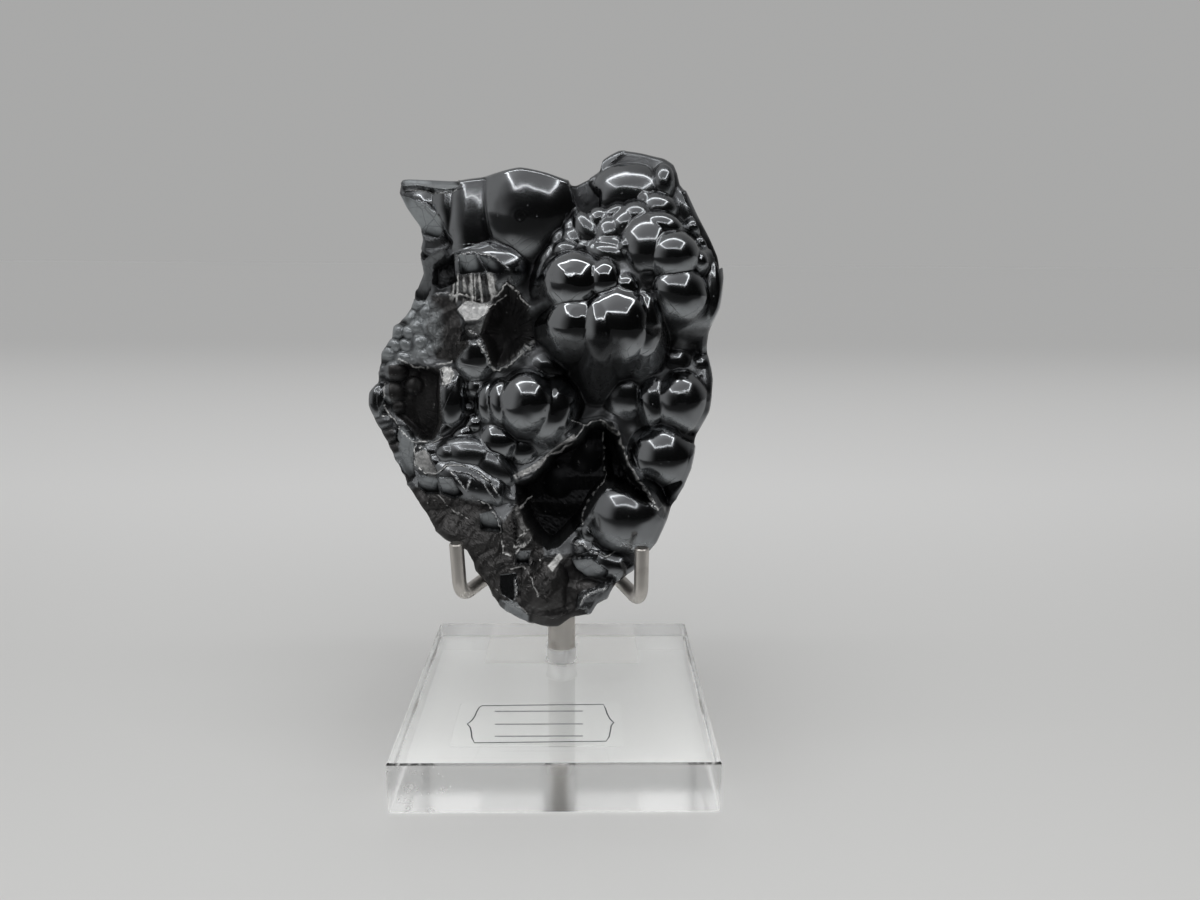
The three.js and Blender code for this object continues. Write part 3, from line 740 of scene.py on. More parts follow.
HOLLOWS = (
    Hollow(((-6.4, 36.1), (-3.3, 39.2), (-2.1, 41.6), (0.8, 43.5), (4.8, 45.1), (6.5, 48.2), (10.3, 49.4),
            (12.9, 48.7), (14.8, 46.3), (15.5, 42.8), (17.0, 38.7), (19.8, 34.6), (22.4, 30.9),
            (20.3, 29.9), (15.5, 32.3), (11.7, 33.7), (9.8, 31.5), (7.9, 28.7), (6.2, 25.6), (3.6, 23.2),
            (0.8, 20.3), (-2.1, 19.1), (-5.0, 21.3), (-7.8, 25.1), (-9.7, 30.4), (-10.2, 34.6)),
           -5.2, 2.2, painted_shade_share=1.0),
    Hollow(((10.3, 48.6), (13.0, 48.1), (14.7, 45.7), (15.9, 41.3), (17.1, 37.9), (19.0, 34.4),
            (15.6, 33.2), (12.2, 35.4), (11.3, 40.6)), -7.5, 1.8, painted_shade_share=1.0),
    Hollow(((-15.4, 77.7), (-11.6, 82.0), (-9.4, 80.1), (-6.8, 76.5), (-5.9, 72.7), (-5.6, 68.4),
            (-9.7, 63.7), (-12.5, 61.5), (-15.6, 61.5), (-17.1, 66.5), (-18.7, 69.2), (-17.6, 72.2),
            (-16.6, 74.6)), 1.4, 4.5, broken=0.75, painted_shade_share=0.75),
    Hollow(((-40.5, 62.3), (-36.2, 63.0), (-29.8, 61.8), (-27.6, 60.4), (-27.6, 49.0), (-29.3, 44.2),
            (-31.7, 44.2), (-35.0, 47.0), (-39.1, 50.1), (-40.3, 54.9)), -0.4, 1.6, broken=0.7),
    Hollow(((-41.4, 47.8), (-39.1, 48.0), (-37.2, 44.2), (-37.4, 40.6), (-39.3, 42.3)),
           0.6, 0.9, broken=0.6),
    Hollow(((-29.7, 85.8), (-26.5, 87.7), (-24.2, 88.5), (-23.9, 84.4), (-23.0, 81.3), (-27.7, 79.8),
            (-29.9, 81.0)), 0.6, 1.0, broken=0.4),
)

RIDGES = (
    # round the vug
    Ridge(((-10.4, 36.6), (-9.4, 35.5), (-8.5, 36.2), (-6.5, 37.2), (-4.0, 38.5), (-3.3, 40.0),
           (-2.4, 41.0), (0.0, 41.7), (2.0, 42.7), (4.4, 45.0)), 0.9, 0.6),
    Ridge(((4.4, 45.0), (6.1, 47.9), (8.0, 49.0), (10.0, 49.5), (12.0, 48.3), (14.2, 46.7)), 0.7, 0.4),
    Ridge(((3.3, 49.2), (5.0, 48.8), (6.3, 48.0)), 0.5, 0.35),
    Ridge(((10.5, 48.6), (12.4, 47.2), (13.6, 46.2), (14.5, 45.4)), 0.6, 0.3),
    Ridge(((14.2, 46.7), (14.6, 45.0), (15.3, 43.0), (16.0, 40.5), (16.7, 38.5), (18.0, 36.5),
           (19.8, 33.8), (22.0, 30.5), (23.2, 28.0)), 0.9, 0.55, 0.9),
    Ridge(((15.4, 38.6), (17.0, 35.6), (19.4, 32.6), (21.6, 29.8)), 0.5, 0.5, 0.5),
    Ridge(((10.8, 46.8), (11.0, 42.0), (11.1, 39.0), (11.6, 36.0), (10.5, 34.4), (9.0, 32.5), (7.0, 30.0),
           (6.1, 28.0), (5.9, 25.4)), 0.8, 0.4, 0.8),
    # round the bowl
    Ridge(((-16.6, 76.2), (-15.2, 77.8), (-13.2, 79.8), (-11.8, 81.3), (-10.7, 80.3), (-9.3, 79.1),
           (-8.3, 77.3), (-6.9, 75.8)), 0.9, 0.4),
    Ridge(((-16.0, 75.2), (-13.6, 77.8), (-12.4, 78.7)), 0.5, 0.3, 0.8),
    Ridge(((-21.0, 70.2), (-20.0, 69.4), (-18.5, 68.0), (-17.2, 66.0), (-16.0, 63.0), (-14.7, 60.9)),
          1.0, 0.6),
    Ridge(((-14.7, 60.9), (-13.0, 61.0), (-11.0, 62.3), (-8.6, 64.2), (-6.0, 66.6)), 0.7, 0.4, 0.9),
    # round the pocket on the left
    Ridge(((-37.6, 63.6), (-36.0, 62.8), (-33.5, 61.8), (-30.0, 61.5), (-28.5, 61.8), (-26.0, 62.3),
           (-24.8, 62.9)), 0.6, 0.4, 0.9),
    Ridge(((-41.5, 58.6), (-41.2, 55.0), (-41.4, 52.4), (-40.2, 50.6), (-38.5, 48.5), (-36.9, 46.9),
           (-35.0, 45.0), (-33.3, 44.0), (-31.4, 44.2), (-29.0, 43.8), (-27.2, 44.9)), 0.6, 0.4, 0.9),
    Ridge(((-42.6, 50.8), (-41.2, 50.2), (-39.8, 50.4)), 0.4, 0.4),
    Ridge(((-27.3, 61.2), (-25.7, 61.6), (-25.0, 59.2), (-25.9, 57.2), (-27.0, 57.4), (-27.3, 61.2)),
          0.4, 0.3),
    # the pale plates and the crescents low on the left
    Ridge(((-28.0, 36.6), (-25.4, 38.6), (-22.0, 38.7), (-18.6, 37.4), (-15.4, 34.8), (-13.2, 31.6)),
          0.35, 0.3, 0.8, 0.3),
    Ridge(((-24.6, 37.4), (-20.0, 36.8), (-16.8, 34.4), (-14.4, 31.0)), 0.25, 0.25, 0.5, 0.3),
    Ridge(((-33.2, 43.2), (-33.9, 40.6), (-33.4, 38.2), (-31.0, 36.6), (-28.2, 36.5)), 0.5, 0.4),
    Ridge(((-32.0, 42.8), (-30.6, 41.6), (-29.6, 39.2), (-28.2, 36.6)), 0.5, 0.35),
    Ridge(((-24.4, 36.9), (-22.6, 35.0), (-20.9, 32.9), (-19.6, 35.6)), 0.35, 0.3, 0.7),
    Ridge(((-18.1, 30.4), (-16.2, 29.7), (-14.6, 27.8), (-13.4, 25.0), (-12.4, 21.6), (-12.0, 18.4)),
          0.8, 0.4, 0.8),
    Ridge(((-27.5, 32.0), (-25.4, 29.4), (-23.6, 28.0), (-20.6, 26.4)), 0.4, 0.3, 0.5),
    # the foot
    Ridge(((-9.4, 20.0), (-8.2, 22.4), (-6.8, 23.6)), 0.8, 0.6),
    Ridge(((-8.6, 28.4), (-7.4, 30.2), (-6.4, 30.8)), 0.6, 0.45),
    Ridge(((-12.0, 18.4), (-9.8, 18.2), (-8.4, 19.6), (-6.2, 21.6)), 0.6, 0.5, 0.8),
    Ridge(((-10.2, 15.2), (-7.4, 15.8), (-5.4, 13.0), (-4.0, 9.8)), 0.4, 0.35, 0.5),
    Ridge(((13.0, 12.0), (9.0, 10.5), (6.0, 9.0), (4.9, 7.0), (3.0, 3.6), (0.2, 1.4)), 0.6, 0.4, 0.6),
    Ridge(((-9.2, 13.4), (-8.8, 10.0), (-9.8, 7.6)), 0.4, 0.4, 0.6),
    Ridge(((-9.6, 7.6), (-7.4, 6.4), (-5.4, 3.8), (-1.6, 2.8)), 0.4, 0.4, 0.5),
    Ridge(((3.6, 21.2), (6.0, 20.6), (8.2, 19.0), (11.6, 18.2), (13.6, 19.6)), 0.35, 0.3, 0.5),
    # the shell under the great lobe, and the wing's edge
    Ridge(((-23.4, 87.7), (-19.4, 88.2), (-18.0, 87.6), (-14.6, 86.6), (-11.2, 84.2)), 0.35, 0.3, 0.7),
    Ridge(((-36.0, 103.3), (-33.0, 103.6), (-29.6, 102.7), (-26.0, 102.1), (-23.8, 102.8)),
          0.15, 0.2, 0.8, 0.2),
    Ridge(((-28.4, 78.6), (-26.4, 79.0), (-23.8, 78.4), (-21.6, 78.6), (-18.4, 77.4)), 0.7, 0.5),
)

# Faint growth rings: middle and radius.
GROWTH_RINGS = ((-8.6, 95.8, 1.5), (-7.2, 52.8, 0.7), (3.0, 81.2, 1.2), (4.4, 72.6, 1.3), (28.6, 54.2, 1.0))

CRACKS = (
    ((-19.1, 88.0), (-17.9, 85.7), (-16.3, 83.1)),
    ((8.0, 72.0), (8.1, 68.0), (8.3, 64.5)),
    ((10.1, 71.0), (10.2, 67.5), (9.9, 64.2)),
    ((-34.0, 43.0), (-37.4, 41.2)),
    ((-33.6, 38.6), (-37.0, 39.2)),
)

PATCHES = (
    # dark broken ground low on the left
    Patch(((-38.0, 35.0), (-32.6, 33.4), (-26.8, 32.1), (-22.2, 30.9), (-17.5, 30.2), (-12.2, 25.6),
           (-8.8, 31.4), (-5.0, 30.0), (-4.6, 21.0), (-2.6, 17.0), (-5.6, 11.4), (-12.5, 7.0),
           (-24.5, 12.0), (-34.5, 23.2)), 1.2, 1.0, 0.9, glints=0.7),
    # the left shoulder, pebbly and pale
    Patch(((-44.5, 66.7), (-36.2, 78.8), (-31.1, 78.3), (-27.6, 74.9), (-27.6, 66.7), (-31.1, 63.1),
           (-37.0, 62.2), (-43.3, 62.6)), 1.2, 0.25, 0.35, pale=0.55),
    # the fibrous cone beside the bowl and the striped break above it
    Patch(((-29.9, 78.6), (-24.0, 78.2), (-22.3, 70.1), (-20.4, 66.6), (-24.0, 62.6), (-28.5, 63.5),
           (-31.0, 70.1)), 1.0, 0.85, 0.4, centre=(-24.5, 62.0), fibres=0.16),
    Patch(((-25.4, 82.9), (-14.6, 83.0), (-13.6, 78.7), (-15.2, 76.6), (-20.3, 76.2), (-25.6, 77.5)),
          0.7, 0.6, 0.3, silver_and_glint=0.9, centre=(-19.5, 112.0), fibres=0.3, reach=32.0),
    # fibres inside the bowl and on the wall of the left pocket
    Patch(((-15.4, 77.7), (-11.6, 82.0), (-9.4, 80.1), (-6.8, 76.5), (-5.9, 72.7), (-5.6, 68.4),
           (-9.7, 63.7), (-12.5, 61.5), (-15.6, 61.5), (-17.1, 66.5), (-18.7, 69.2), (-16.6, 74.6)),
          0.5, 0.5, 0.2, centre=(-12.0, 70.5), fibres=0.25, reach=7.0),
    Patch(((-10.4, 69.6), (-5.6, 69.0), (-5.4, 66.0), (-7.8, 64.6), (-9.2, 64.2)),
          0.3, 0.3, 0.2, silver_and_glint=0.6, centre=(-12.0, 70.5), fibres=0.5, reach=7.0),
    Patch(((-33.2, 61.9), (-27.8, 61.4), (-27.0, 49.0), (-29.0, 44.6), (-33.0, 45.4), (-34.8, 52.0)),
          0.8, 0.9, 0.25, centre=(-37.5, 53.5), fibres=0.16),
    # bright broken faces above the left rim of the vug and on its lower left
    Patch(((-10.2, 36.4), (-6.4, 38.4), (-4.0, 40.0), (-2.4, 41.4), (0.4, 43.6), (3.8, 46.0), (4.6, 44.8),
           (1.8, 42.6), (-2.2, 40.8), (-3.6, 38.4), (-8.6, 36.0)), 0.15, 0.6, 0.4, silver_and_glint=0.55),
    Patch(((-9.6, 19.8), (-8.2, 22.8), (-6.4, 24.0), (-6.0, 22.0), (-7.6, 20.4)),
          0.2, 0.5, 0.8, silver_and_glint=0.9),
    Patch(((-8.4, 30.6), (-6.2, 31.2), (-5.6, 27.4), (-6.4, 24.8), (-7.4, 26.2)),
          0.3, 0.5, 0.7, silver_and_glint=0.15, pale=0.3),
    Patch(((-1.9, 16.2), (0.6, 18.6), (1.4, 17.6), (-0.8, 14.9)), 0.2, 0.2, 0.2, silver_and_glint=0.8),
    Patch(((-9.8, 18.2), (-8.0, 19.4), (-6.4, 18.4), (-6.6, 16.2), (-9.8, 15.8)),
          0.3, 0.7, 0.5, silver_and_glint=0.3, centre=(-7.6, 21.6), fibres=0.3, reach=6.0),
    # the low floor right of the middle, darkened by painted shade
    Patch(((-0.5, 67.5), (14.0, 66.5), (15.5, 61.0), (12.0, 50.0), (5.0, 52.0), (3.0, 60.0)),
          1.5, 0.35, 0.12, painted_shade_share=0.75),
    Patch(((20.0, 70.0), (38.0, 71.0), (38.0, 66.5), (24.0, 66.0)), 0.8, 0.5, 0.3, painted_shade_share=0.5),
    Patch(((-4.5, 18.0), (6.0, 19.0), (10.0, 12.0), (6.0, 3.0), (-6.0, 3.0), (-10.0, 8.0)), 1.5, 0.75, 0.3),
    Patch(((-16.0, 12.5), (-9.0, 7.5), (0.0, 5.0), (7.0, 7.0), (14.0, 12.0), (20.0, 17.0), (26.0, 17.0),
           (8.0, -2.0), (-12.0, -2.0)), 1.0, 0.85, 0.2),
    Patch(((-4.8, 24.6), (-3.0, 19.5), (-1.0, 10.0), (-3.8, 9.5), (-6.0, 19.0)), 0.8, 0.9, 0.8, glints=0.8),
)

# Layers of ground, each with its height, size and seed: broken blocks, chips and crumbs, the bends
# of the lobes' outlines, and the soft swells of their tops.
BLOCKS = ((0.9, 7.0, 9),)
CHIPS = ((0.6, 3.4, 1), (0.4, 1.5, 2))
CRUMBS = ((0.6, 0.9, 3), (0.4, 0.45, 4))
BENDS_A = ((0.3, 5.0, 51), (0.12, 2.2, 52))
BENDS_B = ((0.3, 5.0, 53), (0.12, 2.2, 54))
SWELLS = ((0.05, 5.0, 5), (0.02, 2.3, 6))

# Along the lips: the bends of their lines, and how their crests come and go.
LIP_BENDS_A = ((0.3, 1.6, 61), (0.16, 0.6, 62))
LIP_BENDS_B = ((0.3, 1.6, 63), (0.16, 0.6, 64))
LIP_CRESTS = ((0.45, 0.8, 65),)

# The rim, and the cuts and chips of the back.
RIM_CHIPS = ((1.0, 3.6, 41), (0.5, 1.6, 42))
BACK_CHIPS = ((2.0, 19.0, 34), (1.5, 9.0, 31), (0.45, 4.4, 32), (0.25, 2.0, 33))


# ------------------------------------------------------------------ the stone


@dataclass
class Relief:
    """The front while it is worked out: its places, its heights and its marks.

    Each step changes the heights and the marks. The steps come in the order in which the stone
    grew and broke. A pair of numbers says between which two values a smooth step rises.
    """

    a: Array
    b: Array
    height: Array
    fine: bool

    # How far a lobe stands out as its own dullness takes over, and growth rings on it.
    takes_over: Span = (-0.3, 0.3)
    ring_height: float = 0.05
    ring_width: float = 0.3
    # Ground between the lobes, up to this rise over it, is partly broken.
    bare_rise: Span = (0.1, 0.6)
    bare_broken: float = 0.3

    # Fibres: their width, the width of bright ones, how ragged those are, and which are bright.
    fibre_width: float = 0.6
    bright_width: float = 0.5
    ragged: float = 0.35
    ragged_size: float = 1.6
    bright: Span = (0.0, 0.4)
    patch_crumbs: float = 0.35
    # crumbs between these get painted glints
    glints: Span = (0.72, 0.8)

    # Edges of flat faces, and how much of the crumbs they keep.
    facet_edge: Span = (-0.1, 0.15)
    facet_crumbs: float = 0.3

    # Hollows: chips and crumbs on the wall, blocks and crumbs on the floor, and their marks, with
    # painted shade inside them and painted glints on the largest crumbs.
    wall_chips: float = 0.35
    wall_crumbs: float = 0.15
    floor_blocks: float = 0.7
    floor_crumbs: float = 0.15
    old_marks_end: Span = (0.0, 0.5)
    hollow_broken: Span = (-0.1, 0.6)
    hollow_painted_shade: Span = (0.1, 1.6)
    speck_crumb: float = 0.7
    speck_glint: float = 0.35

    # Lips: mean height of their crests, and which parts get a painted silvery highlight. Cracks:
    # depth, half width.
    lip_crest: float = 0.55
    lip_bright: Span = (0.35, 0.75)
    crest_bright: Span = (0.3, 0.62)
    crack_depth: float = 0.4
    crack_width: float = 0.28

    # Slopes that face down get crazing and a painted floor reflection between these.
    down_slope: Span = (0.35, 0.8)

    def __post_init__(self) -> None:
        """Starts the marks and works out the blocks, the chips and the crumbs."""
        self.marks: Marks = {mark: np.zeros(self.a.shape) for mark in Mark}
        self.marks[Mark.SATIN] = np.ones(self.a.shape)
        self.blocks = layered(chipped, self.a, self.b, BLOCKS)
        self.chips = layered(chipped, self.a, self.b, CHIPS)
        self.crumbs = layered(chipped, self.a, self.b, CRUMBS if self.fine else ())

    def stamp(self, inside: Array, broken: float, pale: float, silver_and_glint: float | Array) -> None:
        """Raises three marks to the given values where inside is 1."""
        for mark, value in ((Mark.BROKEN, broken), (Mark.PALE, pale), (Mark.SILVER_AND_GLINT, silver_and_glint)):
            self.marks[mark] = np.maximum(self.marks[mark], inside * value)

    def clear(self, kinds: tuple[Mark, ...], inside: Array) -> None:
        """Takes marks away where inside is 1."""
        for mark in kinds:
            self.marks[mark] = self.marks[mark] * (1.0 - inside)

    def paint_shade(self, share: Array) -> None:
        """Raises the painted shade of shut in places to a share."""
        self.marks[Mark.PAINTED_SHADE] = np.maximum(self.marks[Mark.PAINTED_SHADE], share)

    def grow(self, lobes: list[Lobe]) -> None:
        """Raises the lobes from the ground by rounded maximum, then swells and growth rings."""
        ground = self.height
        bent_a = self.a + layered(rolling, self.a, self.b, BENDS_A)
        bent_b = self.b + layered(rolling, self.a, self.b, BENDS_B)
        for lobe in lobes:
            cap = lobe.height(bent_a, bent_b)
            shown = smooth(cap - self.height, *self.takes_over)
            self.marks[Mark.SATIN] = lerp(self.marks[Mark.SATIN], lobe.manner.satin, shown)
            self.height = soft_max(self.height, cap, lobe.manner.valley)
        self.height = self.height + layered(rolling, self.a, self.b, SWELLS)
        for ring_a, ring_b, radius in GROWTH_RINGS:
            off = (np.hypot(self.a - ring_a, self.b - ring_b) - radius) / self.ring_width
            self.height = self.height + self.ring_height * np.exp(-(off**2))
        risen = smooth(self.height - ground, *self.bare_rise)
        self.marks[Mark.BROKEN] = self.bare_broken * (1.0 - risen)

    def roughen(self) -> None:
        """Breaks the ground inside the patches, and paints their glints and shade."""
        rough = self.blocks + self.chips + self.patch_crumbs * self.crumbs
        # painted glints on the largest crumbs
        sparks = smooth(self.crumbs, *self.glints)
        for patch in PATCHES:
            inside = smooth(depth_inside(self.a, self.b, patch.rim), -patch.edge, patch.edge)
            self.height = self.height + inside * patch.chips * rough
            streaks = self.fibres(patch, inside) if patch.centre else np.ones(self.a.shape)
            self.stamp(inside, patch.broken, patch.pale, patch.silver_and_glint * streaks + patch.glints * sparks)
            # painted shade over the patch
            self.paint_shade(inside * patch.painted_shade_share)

    def fibres(self, patch: Patch, inside: Array) -> Array:
        """Lays fibres that spread from the centre of a patch.

        The place across the fibres is the angle about the centre times the patch's reach. What
        comes back is how bright each place is, 0 to 1.
        """
        away_a, away_b = self.a - patch.centre[0], self.b - patch.centre[1]
        across, along = np.arctan2(away_a, away_b) * patch.reach, np.zeros(self.a.shape)
        self.marks[Mark.GRAIN] = lerp(self.marks[Mark.GRAIN], across, inside)
        raised = rolling(across, along, self.fibre_width, 7)
        self.height = self.height + inside * patch.fibres * raised
        edges = self.ragged * rolling(self.a, self.b, self.ragged_size, 9)
        return smooth(rolling(across, along, self.bright_width, 8) + edges, *self.bright)

    def cut(self) -> None:
        """Cuts the flat broken faces. They take away the marks of what was there."""
        for facet in FACETS:
            middle_a, middle_b = np.mean(np.array(facet.rim), axis=0)
            ragged = facet.chips * (self.chips + self.crumbs)
            inside = smooth(depth_inside(self.a, self.b, facet.rim) + ragged, *self.facet_edge)
            plane = facet.top + facet.slope_a * (self.a - middle_a) + facet.slope_b * (self.b - middle_b)
            plane = plane + facet.chips * (self.chips + self.facet_crumbs * self.crumbs)
            self.height = lerp(self.height, plane, inside)
            self.clear((Mark.BROKEN, Mark.PALE, Mark.SILVER_AND_GLINT), inside)
            self.stamp(inside, facet.broken, facet.pale, facet.silver_and_glint)

    def sink(self) -> None:
        """Sinks the hollows, paints shade and glints in them, then raises the lobes that stand in them."""
        ragged = self.wall_chips * self.chips + self.wall_crumbs * self.crumbs
        rubble = self.floor_blocks * self.blocks + self.floor_crumbs * self.crumbs
        # painted glints as flecks on the largest crumbs
        glint_specks = self.speck_glint * (self.crumbs > self.speck_crumb)
        for hollow in HOLLOWS:
            depth = depth_inside(self.a, self.b, hollow.rim)
            sunk = smooth(depth + ragged, 0.0, hollow.wall)
            self.height = np.minimum(self.height, lerp(self.height, hollow.floor + rubble, sunk))
            self.clear((Mark.PALE, Mark.SILVER_AND_GLINT), smooth(depth, *self.old_marks_end))
            self.stamp(smooth(depth, *self.hollow_broken), hollow.broken, 0.0, glint_specks)
            # painted shade, darker further inside the hollow
            self.paint_shade(hollow.painted_shade_share * smooth(depth, *self.hollow_painted_shade))
        for row in SUNKEN.rows:
            cap = Lobe(*row, SUNKEN).height(self.a, self.b)
            self.height = soft_max(self.height, cap, SUNKEN.valley)

    def edge(self) -> None:
        """Adds the thin broken lips and the cracks.

        A lip's line is bent by chips of two sizes. Across it the height falls off evenly to its
        width, along it the crest comes and goes with smaller chips. Along the crest a painted
        silvery highlight is laid.
        """
        bend_a = layered(chipped, self.a, self.b, LIP_BENDS_A)
        bend_b = layered(chipped, self.a, self.b, LIP_BENDS_B)
        crest = self.lip_crest + layered(chipped, self.a, self.b, LIP_CRESTS)
        bright_crest = smooth(crest, *self.crest_bright)
        for ridge in RIDGES:
            gap = gap_to_line(self.a + ridge.jag * bend_a, self.b + ridge.jag * bend_b, ridge.line)
            lip = np.clip(1.0 - gap / ridge.width, 0.0, 1.0)
            self.height = self.height + ridge.height * lip * crest
            # a painted silvery highlight along the lip's crest
            bright = ridge.silver_and_glint * (smooth(lip, *self.lip_bright) * bright_crest)
            self.marks[Mark.SILVER_AND_GLINT] = np.maximum(self.marks[Mark.SILVER_AND_GLINT], bright)
        for crack in CRACKS:
            gap = gap_to_line(self.a + bend_a, self.b + bend_b, crack)
            self.height = self.height - self.crack_depth * np.clip(1.0 - gap / self.crack_width, 0.0, 1.0)

    def craze_and_paint_reflection(self) -> None:
        """Marks crazing and a painted floor reflection on places that face down, but not broken ones."""
        slope = np.gradient(self.height, axis=1) / np.gradient(self.b, axis=1)
        self.marks[Mark.CRAZED_AND_PAINTED_REFLECTION] = smooth(slope, *self.down_slope) * (1.0 - self.marks[Mark.BROKEN])


@dataclass
class Stone:
    """The hematite, one closed skin: a front of lobes, a rounded rim and a broken back.

    Its own directions are a to the right, b up its face and c out of it. The face leans back.
    A pair of numbers says between which two values a smooth step rises.
    """

    tip: Triple = (0.3, -20.1, 38.1)
    lean: float = math.radians(12.8)
    columns: int = 228
    rows: int = 292
    centre: Place = (-1.0, 58.0)

    # The ground between the lobes, and small lobes on larger ones.
    level_reach: float = 3.2
    foot_spread: float = 1.05
    far_weight: float = 1e-4
    above_rim: float = 0.8
    much_larger: float = 1.6
    stands_out: float = 0.8
    most_raise: float = 1.5

    # Shares of the patch over which what the calming took away fades.
    fade: float = 0.2

    # Painted shade of shut in places: narrow and wide blur in cells, with the depths under them,
    # and slopes.
    narrow_blur: int = 3
    narrow_depth: Span = (0.08, 0.7)
    wide_blur: int = 11
    wide_depth: Span = (0.5, 2.4)
    steep_slope: Span = (1.5, 2.6)
    steep_painted_shade: float = 0.8
    broken_relief: float = 0.3

    # The rim: rings, height of the widest one at the foot and further up, insets of its borders.
    rim_rings: int = 12
    rim_heights: Span = (10.0, -0.5)
    rim_eases: Span = (10.0, 55.0)
    front_inset: float = 2.0
    back_inset: float = 8.5
    widest_ring: float = 0.4
    tuck_eases: Span = (22.0, 50.0)
    worn_ring: float = 0.2
    worn_rings: Span = (0.15, 0.45)
    rim_step: float = 0.12
    rim_rough: float = 0.45

    # The back: how far it stays under the rim and in from its faces, its mean cut, and where the
    # top of the post is.
    back_under_rim: float = 4.0
    back_skin: float = 0.1
    back_cut: float = 4.0
    post_spot: Place = (0.5, 64.5)
    post_reach: Span = (6.0, 20.0)

    left_side: Outline = (
        (-28.3, 23.0), (-30.1, 25.9), (-33.1, 30.1), (-36.3, 34.7), (-38.7, 39.4), (-41.3, 44.2),
        (-43.9, 48.5), (-45.6, 52.6), (-45.5, 55.7), (-43.7, 58.4), (-42.8, 65.3), (-40.1, 69.4),
        (-39.7, 71.6), (-36.8, 74.2), (-34.9, 77.8), (-34.6, 80.7), (-32.7, 84.6), (-33.4, 89.4),
        (-32.7, 92.7), (-33.4, 95.6), (-36.5, 100.2), (-38.2, 103.8),
    )
    top_side: Outline = (
        (-38.2, 103.8), (-37.5, 106.7), (-31.7, 106.7), (-23.3, 106.2), (-16.1, 107.4), (-8.9, 108.5),
        (-2.9, 107.4), (4.3, 105.9), (7.4, 107.4), (9.9, 109.1), (10.6, 111.4), (14.4, 113.5),
        (19.9, 112.9), (25.2, 111.4), (27.4, 110.0),
    )
    right_side: Outline = (
        (23.1, 20.7), (25.2, 25.0), (27.2, 28.9), (29.8, 33.1), (31.6, 37.1), (32.8, 41.8),
        (33.2, 44.9), (36.4, 51.4), (37.4, 59.1), (36.0, 67.5), (36.2, 70.4), (38.2, 75.4),
        (39.1, 82.6), (38.4, 88.6), (36.5, 92.7), (33.4, 98.0), (30.5, 103.5), (29.0, 105.5),
        (28.3, 108.0), (27.4, 110.0),
    )
    bottom_side: Outline = (
        (-28.3, 23.0), (-25.2, 20.7), (-21.2, 18.9), (-18.8, 14.8), (-15.8, 10.6), (-12.8, 6.0),
        (-8.2, 3.2), (-1.7, 1.6), (0.4, 1.6), (3.4, 3.5), (8.0, 4.6), (9.4, 6.7), (11.5, 7.9),
        (13.1, 10.6), (18.2, 14.8), (23.1, 20.7),
    )
    # Broken faces of the back: depth, slope along a, slope along b. The shallowest one holds.
    back_faces: tuple[Triple, ...] = (
        (-25.5, 0.02, 0.0), (2.0, 0.06, -0.56), (-51.5, -0.05, 0.38), (-33.0, -0.52, 0.02),
        (-34.0, 0.58, 0.03), (-10.0, -0.55, -0.42), (-10.5, 0.62, -0.4), (-56.0, -0.34, 0.34),
        (-58.0, 0.36, 0.38),
    )

    def rim_height(self, b: Array) -> Array:
        """Height of the widest ring: high at the foot, easing down to half way up the stone."""
        return lerp(*self.rim_heights, smooth(b, *self.rim_eases))

    def level(self, a: Array, b: Array, lobes: list[Lobe]) -> Array:
        """Height of the ground between the lobes.

        The mean of the levels and of the feet of the lobes. A level is weighed by
        exp(-(distance / reach)^2), a foot by exp(-(d / spread)^2) with d as on its lobe. Far from
        all of them a small weight that falls with the square of the distance holds.
        """
        total = np.zeros(a.shape)
        weight = np.zeros(a.shape)
        for level_a, level_b, height in LEVELS:
            away = ((a - level_a) ** 2 + (b - level_b) ** 2) / self.level_reach**2
            share = np.exp(-away) + self.far_weight / (1.0 + away)
            total += share * height
            weight += share
        for lobe in lobes:
            share = np.exp(-((lobe.away(a, b) / self.foot_spread) ** 2))
            total += share * (lobe.top - lobe.rise)
            weight += share
        return total / weight

    def lobes(self) -> list[Lobe]:
        """All lobes, the small ones raised a little to stand on much larger ones under them."""
        lobes = [Lobe(*row, cluster) for cluster in CLUSTERS for row in cluster.rows]
        lobes.sort(key=lambda lobe: -lobe.half_a * lobe.half_b)
        settled: list[Lobe] = []
        for lobe in lobes:
            larger = [other for other in settled if other.size > self.much_larger * lobe.size]
            if larger:
                under = max(float(other.height(lobe.a, lobe.b)) for other in larger)
                wanted = min(under + self.stands_out * lobe.rise, lobe.top + self.most_raise)
                lobe = replace(lobe, top=max(lobe.top, wanted))
            settled.append(lobe)
        return settled

    def relief(self, a: Array, b: Array, fine: bool) -> tuple[Array, Marks]:
        """Height and marks of the front.

        The ground, then the rounded maximum with every lobe, then the broken patches, the flat
        broken faces and the hollows with their own lobes. Thin lips, cracks and the smallest
        chips come only where the grid is fine.

        Args:
            a: places to the right.
            b: places up the face.
            fine: whether the grid can hold the small forms.

        Returns:
            The heights, and for each mark its values.
        """
        lobes = self.lobes()
        ground = np.maximum(self.level(a, b, lobes), self.rim_height(b) + self.above_rim)
        relief = Relief(a, b, ground, fine)
        relief.grow(lobes)
        relief.roughen()
        relief.cut()
        relief.sink()
        if fine:
            relief.edge()
        relief.craze_and_paint_reflection()
        return relief.height, relief.marks

